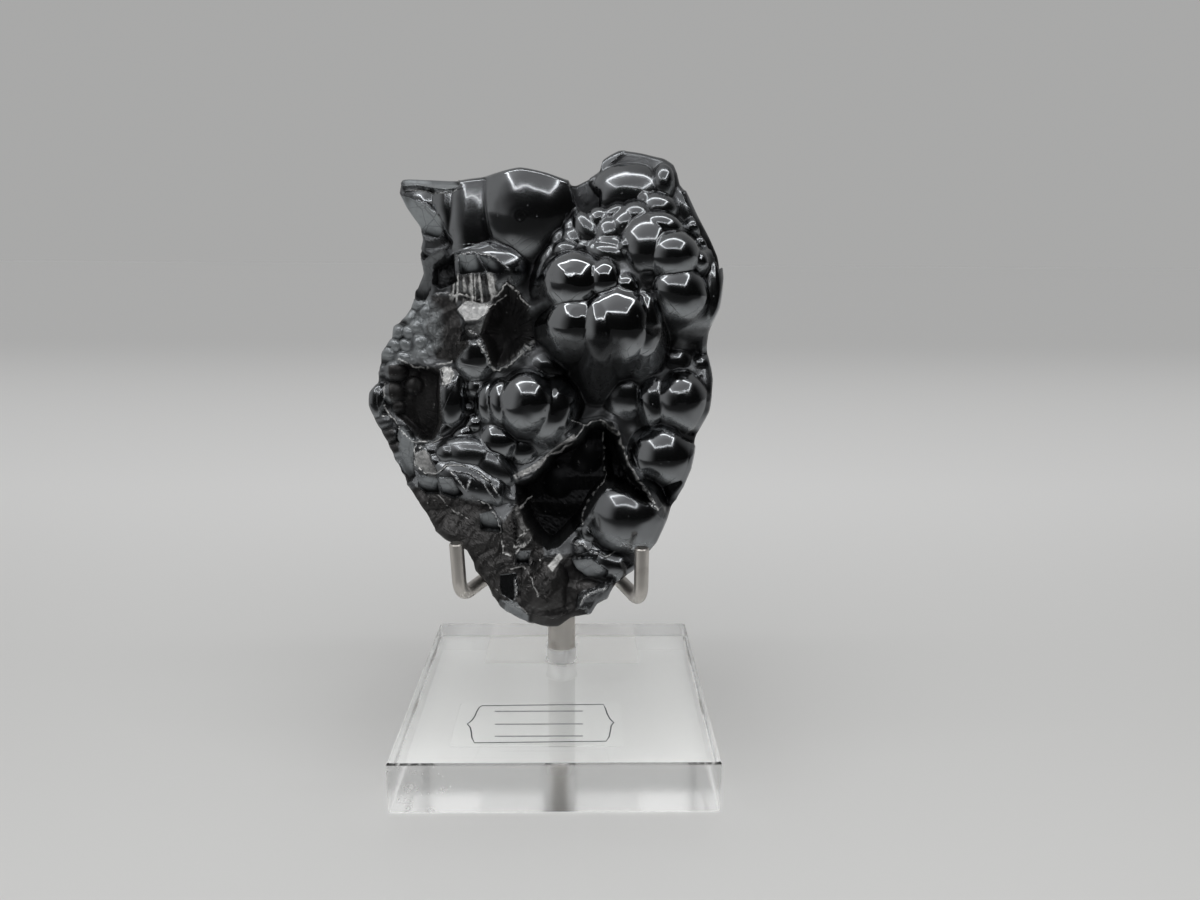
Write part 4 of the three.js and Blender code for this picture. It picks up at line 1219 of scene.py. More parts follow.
    @cached_property
    def shade(self) -> Array:
        """Painted shade of each place of the front, 0 to 1.

        The largest of three shares: how far it lies under its surroundings blurred narrowly, how
        far under those blurred widely, and how steep it is.
        """
        places = self.patch(*self.shares(), self.front_inset)
        a, b = places[..., 0], places[..., 1]
        height, marks = self.relief(a, b, False)
        narrow = smooth(blurred(height, self.narrow_blur) - height, *self.narrow_depth)
        wide = smooth(blurred(height, self.wide_blur) - height, *self.wide_depth)
        slope_a = np.gradient(height, axis=0) / np.gradient(a, axis=0)
        slope_b = np.gradient(height, axis=1) / np.gradient(b, axis=1)
        steep = self.steep_painted_shade * smooth(np.hypot(slope_a, slope_b), *self.steep_slope)
        shut = np.maximum(np.maximum(narrow, wide), blurred(steep, 1))
        return shut * (1.0 - self.broken_relief * marks[Mark.BROKEN])

    def front(self, u: Array, v: Array, fine: bool = False) -> tuple[Array, Marks]:
        """Points [a, b, c] of the front at shares u and v of the patch, and their marks."""
        places = self.patch(u, v, self.front_inset)
        height, marks = self.relief(places[..., 0], places[..., 1], fine)
        # painted shade from the relief, added to that of the hollows and patches
        marks[Mark.PAINTED_SHADE] = np.maximum(marks[Mark.PAINTED_SHADE], between_cells(self.shade, u, v))
        return np.dstack([places, height]), marks

    def shares(self, part: int = 1) -> tuple[Array, Array]:
        """The shares of the patch's columns and rows, or of every part of them."""
        cells = (self.columns // part, self.rows // part)
        return np.linspace(0.0, 1.0, cells[0] + 1), np.linspace(0.0, 1.0, cells[1] + 1)

    def back(self, a: Array, b: Array) -> Array:
        """Height of the back: the shallowest of its broken faces, less cuts and chips.

        Cuts and chips fade out where the stone leans on the top of the post.
        """
        faces = [depth + slope_a * a + slope_b * b for depth, slope_a, slope_b in self.back_faces]
        plain = np.minimum(np.maximum.reduce(faces), self.rim_height(b) - self.back_under_rim)
        away = smooth(np.hypot(a - self.post_spot[0], b - self.post_spot[1]), *self.post_reach)
        return plain + self.back_skin + away * (self.back_cut + layered(chipped, a, b, BACK_CHIPS))

    @staticmethod
    def back_marks(a: Array, b: Array) -> Marks:
        """Marks of the back: broken ground, each face with its own polish, with painted glints."""
        marks = {mark: np.zeros(a.shape) for mark in Mark}
        marks[Mark.BROKEN] = 0.72 + 0.28 * chipped(a, b, 7.0, 36)
        marks[Mark.SATIN] = 0.6 + 0.4 * chipped(a, b, 4.4, 37)
        marks[Mark.PALE] = 0.1 * smooth(chipped(a, b, 5.0, 38), 0.3, 0.6)
        # painted glints on small chips
        marks[Mark.SILVER_AND_GLINT] = 0.28 * smooth(chipped(a, b, 1.7, 39), 0.72, 0.85)
        return marks

    def inset(self, places: Array, distance: float | Array) -> Array:
        """Moves places [a, b] towards the middle of the face by a distance."""
        middle = np.array(self.centre)
        away = places - middle
        reach = np.hypot(away[..., 0], away[..., 1])
        return middle + away * (1.0 - distance / reach)[..., None]

    def patch(self, u: Array, v: Array, distance: float) -> Array:
        """A Coons patch between the four sides of the outline.

        The blend of left and right, plus the blend of bottom and top, less the flat blend of the
        four corners, all with calmed sides. What the calming took away comes back near each side
        and fades with the square of the distance to it.

        Args:
            u: shares of the width.
            v: shares of the height.
            distance: how far each side is moved in.

        Returns:
            Places [a, b], (len(u), len(v), 2).
        """

        def sides(curve: Callable[..., Array]) -> list[Array]:
            """The left, right, bottom and top sides, each along its own axis of the patch."""
            upright = (self.inset(curve(side, v), distance) for side in (self.left_side, self.right_side))
            level = (self.inset(curve(side, u), distance) for side in (self.bottom_side, self.top_side))
            return [side[None] for side in upright] + [side[:, None] for side in level]

        full, calm = sides(through), sides(calmed)
        ends = [self.left_side[0], self.right_side[0], self.left_side[-1], self.right_side[-1]]
        low_left, low_right, high_left, high_right = (self.inset(np.array(end), distance) for end in ends)
        right, up = u[:, None, None], v[None, :, None]
        corners = lerp(lerp(low_left, low_right, right), lerp(high_left, high_right, right), up)
        places = lerp(calm[0], calm[1], right) + lerp(calm[2], calm[3], up) - corners
        for near, whole, quiet in zip((right, 1.0 - right, up, 1.0 - up), full, calm):
            places = places + (whole - quiet) * np.clip(1.0 - near / self.fade, 0.0, 1.0) ** 2
        return places

    @staticmethod
    def border(grid: Array) -> Array:
        """The border of a grid once round, anticlockwise as seen from the front."""
        return np.concatenate([grid[:-1, 0], grid[-1, :-1], grid[:0:-1, -1], grid[0, :0:-1]])

    def rim_ring(self, front: Array, back: Array, share: float) -> Array:
        """One ring of the rim: a quarter ellipse out to the widest ring, then one to the back.

        Args:
            front: border points of the front, (n, 3).
            back: the border point of the back that belongs to each, (n, 3).
            share: how far round the rim the ring lies, 0 at the front and 1 at the back.

        Returns:
            The ring's points, (n, 3).
        """
        middle = self.rim_height(front[:, 1])
        if share < self.widest_ring:
            turn = 0.5 * math.pi * share / self.widest_ring
            depth = np.full(len(front), self.front_inset * (1.0 - math.sin(turn)))
            height = middle + (front[:, 2] - middle) * math.cos(turn)
        else:
            turn = 0.5 * math.pi * (share - self.widest_ring) / (1.0 - self.widest_ring)
            tucked = lerp(math.sin(turn), 1.0 - math.cos(turn), smooth(front[:, 1], *self.tuck_eases))
            depth = self.back_inset * tucked
            height = middle + (back[:, 2] - middle) * math.sin(turn)
        if share > self.worn_ring:
            rough = 1.0 + layered(chipped, lengths(front[:, :2]), height, RIM_CHIPS)
            depth = depth + self.rim_step + self.rim_rough * rough * math.sin(math.pi * share)
        places = self.inset(front[:, :2], depth - self.front_inset)
        return np.column_stack([places, height])

    def to_frame(self, points: Array) -> Array:
        """Turns points [a, b, c] of the leaning stone into the frame's directions."""
        a, b, c = points.T
        sine, cosine = math.sin(self.lean), math.cos(self.lean)
        x = self.tip[0] + a
        y = self.tip[1] + b * sine - c * cosine
        z = self.tip[2] + b * cosine + c * sine
        return np.column_stack([x, y, z])

    def skin(self) -> Skin:
        """Gathers the closed skin of the stone."""
        skin = Skin()
        front, marks = self.front(*self.shares())
        front_numbers = skin.add(front, marks)
        back_places = self.patch(*self.shares(2), self.back_inset)
        back = np.dstack([back_places, self.back(back_places[..., 0], back_places[..., 1])])
        back_numbers = skin.add(back, self.back_marks(back_places[..., 0], back_places[..., 1]))
        skin.grid(front_numbers)
        skin.grid(back_numbers, flipped=True)
        front_border, back_border = self.border(front), self.border(back)
        back_of_each = np.repeat(back_border, 2, axis=0)
        edge_marks = {mark: self.border(values) for mark, values in marks.items()}
        ring = self.border(front_numbers)
        for k in range(1, self.rim_rings):
            share = k / self.rim_rings
            worn = smooth(np.full(len(ring), share), *self.worn_rings)
            ring_marks = {mark: values * (1.0 - worn) for mark, values in edge_marks.items()}
            ring_marks[Mark.BROKEN] = np.maximum(ring_marks[Mark.BROKEN], worn)
            following = skin.add(self.rim_ring(front_border, back_of_each, share), ring_marks)
            skin.ring(ring, following)
            ring = following
        skin.halved_ring(ring, self.border(back_numbers))
        skin.points = [self.to_frame(points) for points in skin.points]
        return skin

    def build(self, finish: Material) -> Object:
        """Builds the stone and puts it in place of its solid."""
        return place_piece(self.skin().mesh("hematite_specimen"), finish, "hematite")


@dataclass(frozen=True)
class Inlay:
    """A thin sheet with a finer skin over one broken part of the stone's face.

    Inside its rim it is lifted a hair above the stone's skin, outside and near the border of the
    face it is sunk into the stone. Each joint-th point of its top has one of its underside.
    """

    name: str
    rim: Outline
    lift: float
    fineness: float = 2.5
    joint: int = 4
    sunk: float = 0.7
    thickness: float = 1.2
    margin: float = 1.0
    rise: Span = (-0.35, 0.35)
    border_cells: Span = (0.5, 2.5)
    sharp: float = 32.0

    def window(self, stone: Stone) -> tuple[Array, Array]:
        """Shares of the patch's columns and rows that cover the rim, finer than the stone's."""
        u, v = stone.shares()
        places = stone.patch(u, v, stone.front_inset)
        inside = depth_inside(places[..., 0], places[..., 1], self.rim) > -self.margin
        shares = []
        for axis, along in ((1, u), (0, v)):
            touched = np.nonzero(inside.any(axis=axis))[0]
            first, last = touched[0], touched[-1]
            cells = self.joint * round((last - first) * self.fineness / self.joint)
            shares.append(np.linspace(along[first], along[last], cells + 1))
        return shares[0], shares[1]

    def build(self, stone: Stone, finish: Material) -> Object:
        """Builds the sheet: a fine top, a coarser underside and a wall that joins them."""
        u, v = self.window(stone)
        top, marks = stone.front(u, v, fine=True)
        inside = smooth(depth_inside(top[..., 0], top[..., 1], self.rim), *self.rise)
        for share, cells in ((u[:, None], stone.columns), (v[None, :], stone.rows)):
            inside = inside * smooth(np.minimum(share, 1.0 - share) * cells, *self.border_cells)
        top[..., 2] += lerp(-self.sunk, self.lift, inside)
        coarse = (slice(None, None, self.joint), slice(None, None, self.joint))
        low = top[coarse] - [0.0, 0.0, self.thickness]
        skin = Skin()
        top_numbers = skin.add(top, marks)
        low_numbers = skin.add(low, {mark: values[coarse] for mark, values in marks.items()})
        skin.grid(top_numbers)
        skin.grid(low_numbers, flipped=True)
        skin.stepped_ring(stone.border(top_numbers), stone.border(low_numbers))
        skin.points = [stone.to_frame(points) for points in skin.points]
        return place_piece(skin.mesh(self.name, self.sharp), finish)


INLAYS = (
    Inlay("broken_shell", ((-33.0, 90.0), (-24.0, 90.5), (-16.0, 90.5), (-9.0, 86.5), (-5.0, 80.0),
           (-3.0, 73.0), (-3.5, 67.0), (-8.0, 62.5), (-13.0, 59.8), (-18.0, 61.0), (-27.0, 62.8),
           (-31.5, 64.0), (-33.0, 75.0)), 0.05),
    Inlay("pebbly_pocket", ((-46.0, 50.0), (-46.5, 57.0), (-44.0, 66.0), (-40.5, 72.0), (-37.0, 78.5),
           (-31.0, 79.5), (-27.5, 75.0), (-26.0, 64.0), (-24.3, 62.5), (-24.0, 57.0), (-27.0, 50.0),
           (-27.0, 43.5), (-33.0, 42.5), (-38.0, 47.5), (-41.0, 47.0)), 0.07),
    Inlay("pale_steps", ((-40.0, 48.0), (-36.5, 48.5), (-33.0, 43.5), (-28.0, 43.2), (-25.0, 43.6),
           (-19.0, 44.0), (-14.0, 41.0), (-10.5, 36.0), (-9.5, 31.0), (-8.0, 24.0), (-10.0, 18.0),
           (-16.0, 12.0), (-20.0, 17.0), (-24.0, 20.0), (-29.0, 22.0), (-34.0, 30.0), (-39.0, 39.0),
           (-42.0, 44.0)), 0.09),
    Inlay("vug_edges", ((-11.0, 34.0), (-9.5, 38.0), (-4.5, 41.5), (0.0, 44.0), (3.0, 46.5), (3.0, 49.8),
           (6.0, 50.0), (10.5, 50.8), (14.5, 48.5), (16.8, 44.0), (19.0, 38.5), (22.0, 34.0),
           (24.8, 29.8), (22.5, 28.5), (17.0, 32.5), (14.0, 34.0), (10.0, 32.0), (8.3, 28.0), (7.3, 24.5),
           (9.0, 22.3), (8.0, 19.5), (3.0, 17.5), (-1.0, 14.5), (-4.0, 17.0), (-9.0, 20.0),
           (-12.0, 27.0)), 0.11, fineness=2.1),
    Inlay("broken_foot", ((-13.5, 10.0), (-15.0, 14.0), (-9.5, 20.5), (-4.0, 17.5), (0.0, 18.0),
           (3.0, 17.8), (8.0, 19.8), (13.0, 19.5), (20.0, 18.5), (22.0, 20.5), (17.5, 15.5), (12.0, 10.0),
           (8.0, 5.5), (0.0, 1.8), (-8.0, 3.5)), 0.13),
    Inlay("wing_tip", ((-39.0, 99.0), (-39.0, 107.5), (-22.0, 107.0), (-21.5, 103.0), (-26.0, 101.8),
           (-30.0, 102.3), (-33.0, 103.4), (-36.0, 102.8), (-32.5, 99.5), (-29.0, 97.5), (-26.3, 94.0),
           (-26.5, 91.5), (-33.5, 90.5)), 0.05),
)

# ------------------------------------------------------------------ the stand


@dataclass
class Block:
    """The clear block: a square slab with all edges broken and a bore near its back."""

    side: float = 76.2
    height: float = 12.7
    edge: float = 0.4
    bore: float = 4.3
    bore_y: float = 23.5
    steps: int = 40
    sharp: float = 20.0

    def square(self, inset: float) -> Array:
        """Points [x, y] round the square, its corners cut, moved in by inset."""
        half = self.side / 2.0 - inset
        cut = half - self.edge
        run = np.linspace(-cut, cut, self.steps)
        side = np.column_stack([run, np.full(self.steps, -half)])
        turns = [np.array([[0, 1], [-1, 0]]), np.array([[-1, 0], [0, -1]]), np.array([[0, -1], [1, 0]])]
        return np.concatenate([side] + [side @ turn for turn in turns])

    def build(self, finish: Material) -> Object:
        """Builds the block as rings of one profile: underside, side, top and down the bore."""
        outline = self.square(0.0)
        away = outline - [0.0, self.bore_y]
        circle = away / np.hypot(away[:, 0], away[:, 1])[:, None]
        hole = circle * self.bore + [0.0, self.bore_y]
        mouth = circle * (self.bore + self.edge) + [0.0, self.bore_y]
        inner = self.square(self.edge)
        top, low = self.height - self.edge, self.edge
        profile = (
            (mouth, 0.0), (inner, 0.0), (outline, low), (outline, top), (inner, self.height),
            (mouth, self.height), (hole, top), (hole, low),
        )
        skin = Skin()
        skin.closed_rings([skin.add(at_height(places, z)) for places, z in profile])
        made = place_piece(skin.mesh("clear_block", self.sharp), finish, "acrylic_base")
        made.visible_shadow = False
        return made


@dataclass
class Post:
    """The round steel post that stands in the bore."""

    radius: float = 4.0
    y: float = 23.5
    foot: float = 0.4
    top: float = 96.0
    chamfer: float = 0.6
    steps: int = 96
    sharp: float = 30.0

    def build(self, finish: Material) -> Object:
        """Builds the post by turning its profile."""
        circle = round_places(self.steps)
        profile = (
            (self.radius - self.chamfer, self.foot), (self.radius, self.foot + self.chamfer),
            (self.radius, self.top - self.chamfer), (self.radius - self.chamfer, self.top),
        )
        skin = Skin()
        rings = [skin.add(at_height(circle * radius + [0.0, self.y], z)) for radius, z in profile]
        for first, second in zip(rings[:-1], rings[1:]):
            skin.ring(second, first)
        skin.cap(rings[0][::-1])
        skin.cap(rings[-1])
        return place_piece(skin.mesh("steel_post", self.sharp), finish, "post")


@dataclass
class Prong:
    """One bent wire arm: out from the post, a bend, and a short upright tip."""

    name: str
    node: str
    root_x: float
    bend_x: float
    bend_y: float
    lean: float
    radius: float = 1.6
    bend: float = 4.4
    bend_steps: int = 17
    arm_height: float = 50.0
    tip_height: float = 62.7
    post_y: float = 23.5
    post_gap: float = 4.3
    around: int = 28
    chamfer: float = 0.25
    sharp: float = 40.0

    def path(self) -> Array:
        """Middle line of the wire: a straight arm, a quadratic bend and a straight tip."""
        centre = np.array([self.root_x, self.post_y, self.arm_height])
        corner = np.array([self.bend_x, self.bend_y, self.arm_height])
        tip = np.array([self.bend_x + self.lean, self.bend_y, self.tip_height])
        outward = (corner - centre) / np.linalg.norm(corner - centre)
        upward = (tip - corner) / np.linalg.norm(tip - corner)
        root = centre + outward * self.post_gap
        start, end = corner - outward * self.bend, corner + upward * self.bend
        t = np.linspace(0.0, 1.0, self.bend_steps)[:, None]
        curve = (1 - t) ** 2 * start + 2 * t * (1 - t) * corner + t**2 * end
        return np.concatenate([root[None], curve, tip[None]])

    def build(self, finish: Material) -> Object:
        """Sweeps a circle along the path, its plane square to the path, with chamfered ends.

        One direction of each circle is the arm's level cross direction, the other is square to
        it and to the path.
        """
        path = self.path()
        ahead = np.gradient(path, axis=0)
        ahead = ahead / np.linalg.norm(ahead, axis=1)[:, None]
        level = np.cross(ahead[0], [0.0, 0.0, 1.0])
        level = level / np.linalg.norm(level)
        radius = np.full(len(path), self.radius)
        after_root = path[:1] + ahead[:1] * self.chamfer
        before_tip = path[-1:] - ahead[-1:] * self.chamfer
        path = np.concatenate([path[:1], after_root, path[1:-1], before_tip, path[-1:]])
        ahead = np.concatenate([ahead[:1], ahead, ahead[-1:]])
        radius = np.concatenate([radius[:1] - self.chamfer, radius, radius[-1:] - self.chamfer])
        other = np.cross(level, ahead)
        cosine, sine = round_places(self.around).T
        circle = cosine[None, :, None] * level + sine[None, :, None] * other[:, None, :]
        skin = Skin()
        numbers = skin.add(path[:, None, :] + circle * radius[:, None, None])
        for first, second in zip(numbers[:-1], numbers[1:]):
            skin.ring(first, second)
        skin.cap(numbers[0])
        skin.cap(numbers[-1][::-1])
        return place_piece(skin.mesh(self.name, self.sharp), finish, self.node)


PRONGS = (
    Prong("left_wire", "left_prong", root_x=-0.6, bend_x=-21.1, bend_y=-30.9, lean=-0.6),
    Prong("right_wire", "right_prong", root_x=0.6, bend_x=19.2, bend_y=-33.8, lean=0.0),
)


@dataclass
class Label:
    """The clear film on the block, with its printed frame and blank ruled lines."""

    centre: Place = (-4.4, -21.05)
    width: float = 41.0
    depth: float = 20.5
    corner: float = 1.5
    corner_steps: int = 7
    low: float = 12.71
    top: float = 12.8
    ink_low: float = 12.805
    ink: float = 12.83
    line: float = 0.32
    sharp: float = 30.0

    # The printed frame, once round: its two ends are pointed like brackets.
    frame_line: Outline = (
        (-19.3, -12.5), (11.6, -12.0), (12.1, -14.1), (12.5, -16.8), (13.1, -19.1), (14.0, -20.8),
        (13.3, -22.2), (13.1, -24.2), (12.7, -27.1), (11.9, -29.1), (-19.1, -29.6), (-20.0, -27.4),
        (-20.5, -24.7), (-21.0, -22.8), (-21.9, -21.3), (-21.0, -19.6), (-20.5, -17.6), (-20.3, -15.2),
        (-19.9, -13.3),
    )
    # Blank lines: where each starts and ends, and its place along y.
    rules: tuple[Triple, ...] = ((-15.8, 6.4, -15.3), (-15.1, 6.4, -21.4), (-14.6, 6.4, -26.8))

    def film(self, finish: Material) -> Object:
        """The film: a rounded rectangle between two heights."""
        half = np.array([self.width, self.depth]) / 2.0 - self.corner
        corners = []
        for k, signs in enumerate(((1, 1), (-1, 1), (-1, -1), (1, -1))):
            turn = np.linspace(0.0, 0.5 * math.pi, self.corner_steps) + 0.5 * math.pi * k
            corners.append(np.column_stack([np.cos(turn), np.sin(turn)]) * self.corner + half * signs)
        ring = np.concatenate(corners) + self.centre
        skin = Skin()
        low, top = (skin.add(at_height(ring, z)) for z in (self.low, self.top))
        skin.ring(top, low)
        skin.cap(top)
        skin.cap(low[::-1])
        made = place_piece(skin.mesh("label_film", self.sharp), finish, "label")
        made.visible_shadow = False
        return made

    def ribbon(self, skin: Skin, line: Outline, closed: bool) -> None:
        """Adds a flat ribbon along a line: two edges half a line's width to each side."""
        middle = np.array(line, float)
        if closed:
            ahead = np.roll(middle, -1, axis=0) - np.roll(middle, 1, axis=0)
        else:
            ahead = np.gradient(middle, axis=0)
        ahead = ahead / np.hypot(ahead[:, 0], ahead[:, 1])[:, None]
        side = np.column_stack([-ahead[:, 1], ahead[:, 0]]) * self.line / 2.0
        profile = ((-side, self.ink_low), (-side, self.ink), (side, self.ink), (side, self.ink_low))
        rings = [skin.add(at_height(middle + offset, z)) for offset, z in profile]
        if closed:
            skin.closed_rings(rings)
        else:
            for first, second in zip(rings, rings[1:] + rings[:1]):
                skin.grid(np.stack([second, first]), flipped=True)
            skin.cap(np.array([ring[0] for ring in rings]))
            skin.cap(np.array([ring[-1] for ring in rings])[::-1])

    def build(self, film: Material, ink: Material) -> None:
        """Builds the film, its printed frame and its blank lines."""
        self.film(film)
        frame_skin, rule_skin = Skin(), Skin()
        self.ribbon(frame_skin, self.frame_line, True)
        for start, end, y in self.rules:
            self.ribbon(rule_skin, ((start, y), (0.5 * (start + end), y), (end, y)), False)
        place_piece(frame_skin.mesh("label_frame", self.sharp), ink)
        place_piece(rule_skin.mesh("label_rules", self.sharp), ink)


# ------------------------------------------------------------------ finishes


@dataclass
class Nodes:
    """Builds the node tree of one material, world or group."""

    tree: bpy.types.NodeTree
    material: Material | None = None

    @classmethod
    def new(cls, name: str) -> "Nodes":
        """Starts a material."""
        made = bpy.data.materials.new(name)
        made.use_nodes = True
        return cls(made.node_tree, made)

    def add(self, kind: str, **settings: object) -> bpy.types.ShaderNode:
        """Adds a node with settings."""
        node = self.tree.nodes.new(kind)
        for key, value in settings.items():
            setattr(node, key, value)
        return node

    def feed(self, node: bpy.types.Node, inputs: dict[str | int, Value]) -> bpy.types.NodeOutputs:
        """Links or sets a node's inputs, given by name or number, and returns its outputs."""
        for name, value in inputs.items():
            if isinstance(value, Socket):
                self.tree.links.new(value, node.inputs[name])
            else:
                node.inputs[name].default_value = value
        return node.outputs

    def dress(self, inputs: dict[str, Value]) -> Material:
        """Feeds inputs of the principled shader and returns the finished material."""
        self.feed(self.tree.nodes["Principled BSDF"], inputs)
        return self.material

    def math(self, operation: str, *values: Value, clamp: bool = False) -> Socket:
        """One plain operation on one or two values, kept within 0 to 1 if clamped."""
        node = self.add("ShaderNodeMath", operation=operation, use_clamp=clamp)
        return self.feed(node, dict(enumerate(values)))[0]

    def plus(self, first: Value, *others: Value, clamp: bool = False) -> Socket:
        """Sum of values from left to right, the last one kept within 0 to 1 if clamped."""
        for k, other in enumerate(others, 1):
            first = self.math("ADD", first, other, clamp=clamp and k == len(others))
        return first

    def times(self, first: Value, *others: Value) -> Socket:
        """Product of values from left to right."""
        for other in others:
            first = self.math("MULTIPLY", first, other)
        return first

    def minus(self, first: Value, second: Value, clamp: bool = False) -> Socket:
        """One value less another, kept within 0 to 1 if clamped."""
        return self.math("SUBTRACT", first, second, clamp=clamp)

    def between(
        self, value: Value, low: Value, high: Value, at_low: float = 0.0, at_high: float = 1.0
    ) -> Socket:
        """A smooth step: at_low where the value is low or less, at_high where it is high or more."""
        node = self.add("ShaderNodeMapRange", interpolation_type="SMOOTHSTEP")
        limits = {"From Min": low, "From Max": high, "To Min": at_low, "To Max": at_high}
        return self.feed(node, {"Value": value} | limits)[0]

    def mix(self, share: Value, low: Socket | Colour, high: Socket | Colour) -> Socket:
        """Blends two colours by a share."""
        node = self.add("ShaderNodeMix", data_type="RGBA")
        low, high = ((*part, 1.0) if isinstance(part, tuple) else part for part in (low, high))
        return self.feed(node, {0: share, 6: low, 7: high})[2]

    def mark(self, mark: Mark) -> Socket:
        """Reads one of the stone's marks."""
        return self.add("ShaderNodeAttribute", attribute_name=mark.value).outputs["Fac"]

    def place(self) -> Socket:
        """The place on the piece, in metres."""
        return self.add("ShaderNodeTexCoord").outputs["Object"]

    def axes(self, vector: Socket) -> tuple[Socket, Socket, Socket]:
        """The three parts of a vector."""
        return tuple(self.feed(self.add("ShaderNodeSeparateXYZ"), {0: vector}))

    def mirror_rays(self) -> Socket:
        """1 for rays that come from a mirror-like reflection and not through something clear."""
        path = self.add("ShaderNodeLightPath").outputs
        return self.minus(path["Is Glossy Ray"], path["Is Transmission Ray"], clamp=True)

    def noise(self, place: Socket, size: float, detail: float = 2.0, rough: float = 0.5) -> Socket:
        """Soft noise of patches of about a size in millimetres, with finer layers as detail."""
        inputs = {"Vector": place, "Scale": 1.0 / MM / size, "Detail": detail, "Roughness": rough}
        return self.feed(self.add("ShaderNodeTexNoise"), inputs)["Fac"]

    def patches(
        self, place: Socket, size: float, detail: float, rough: float, low: float, high: float
    ) -> Socket:
        """Places the group of soft patches: a mask that begins at low noise and is 1 at high."""
        noise = {"Vector": place, "Scale": 1.0 / MM / size, "Detail": detail, "Roughness": rough}
        node = self.add("ShaderNodeGroup", node_tree=soft_patches())
        return self.feed(node, noise | {"Low": low, "High": high})["Mask"]

    def cells(self, place: Socket, size: float, feature: str = "F1", output: str = "Distance") -> Socket:
        """Cells of about a size in millimetres: a distance, or as Color a value of the cell's own."""
        node = self.add("ShaderNodeTexVoronoi", feature=feature)
        return self.feed(node, {"Vector": place, "Scale": 1.0 / MM / size})[output]

    def bump(
        self, height: Socket, distance: float, strength: float = 1.0, before: Socket | None = None
    ) -> Socket:
        """The normal of a bump, its distance in millimetres, laid on the one before if given."""
        inputs = {"Height": height, "Distance": distance * MM, "Strength": strength}
        if before is not None:
            inputs["Normal"] = before
        return self.feed(self.add("ShaderNodeBump"), inputs)[0]


@cache
def soft_patches() -> bpy.types.NodeTree:
    """The node group of soft patches, built once: noise, then a smooth step between two values."""
    group = bpy.data.node_groups.new("soft_patches", "ShaderNodeTree")
    group.interface.new_socket("Vector", in_out="INPUT", socket_type="NodeSocketVector")
    for name in ("Scale", "Detail", "Roughness", "Low", "High"):
        group.interface.new_socket(name, in_out="INPUT", socket_type="NodeSocketFloat")
    group.interface.new_socket("Mask", in_out="OUTPUT", socket_type="NodeSocketFloat")
    n = Nodes(group)
    given = n.add("NodeGroupInput").outputs
    wanted = ("Vector", "Scale", "Detail", "Roughness")
    noise = n.feed(n.add("ShaderNodeTexNoise"), {name: given[name] for name in wanted})["Fac"]
    n.feed(n.add("NodeGroupOutput"), {"Mask": n.between(noise, given["Low"], given["High"])})
    return group


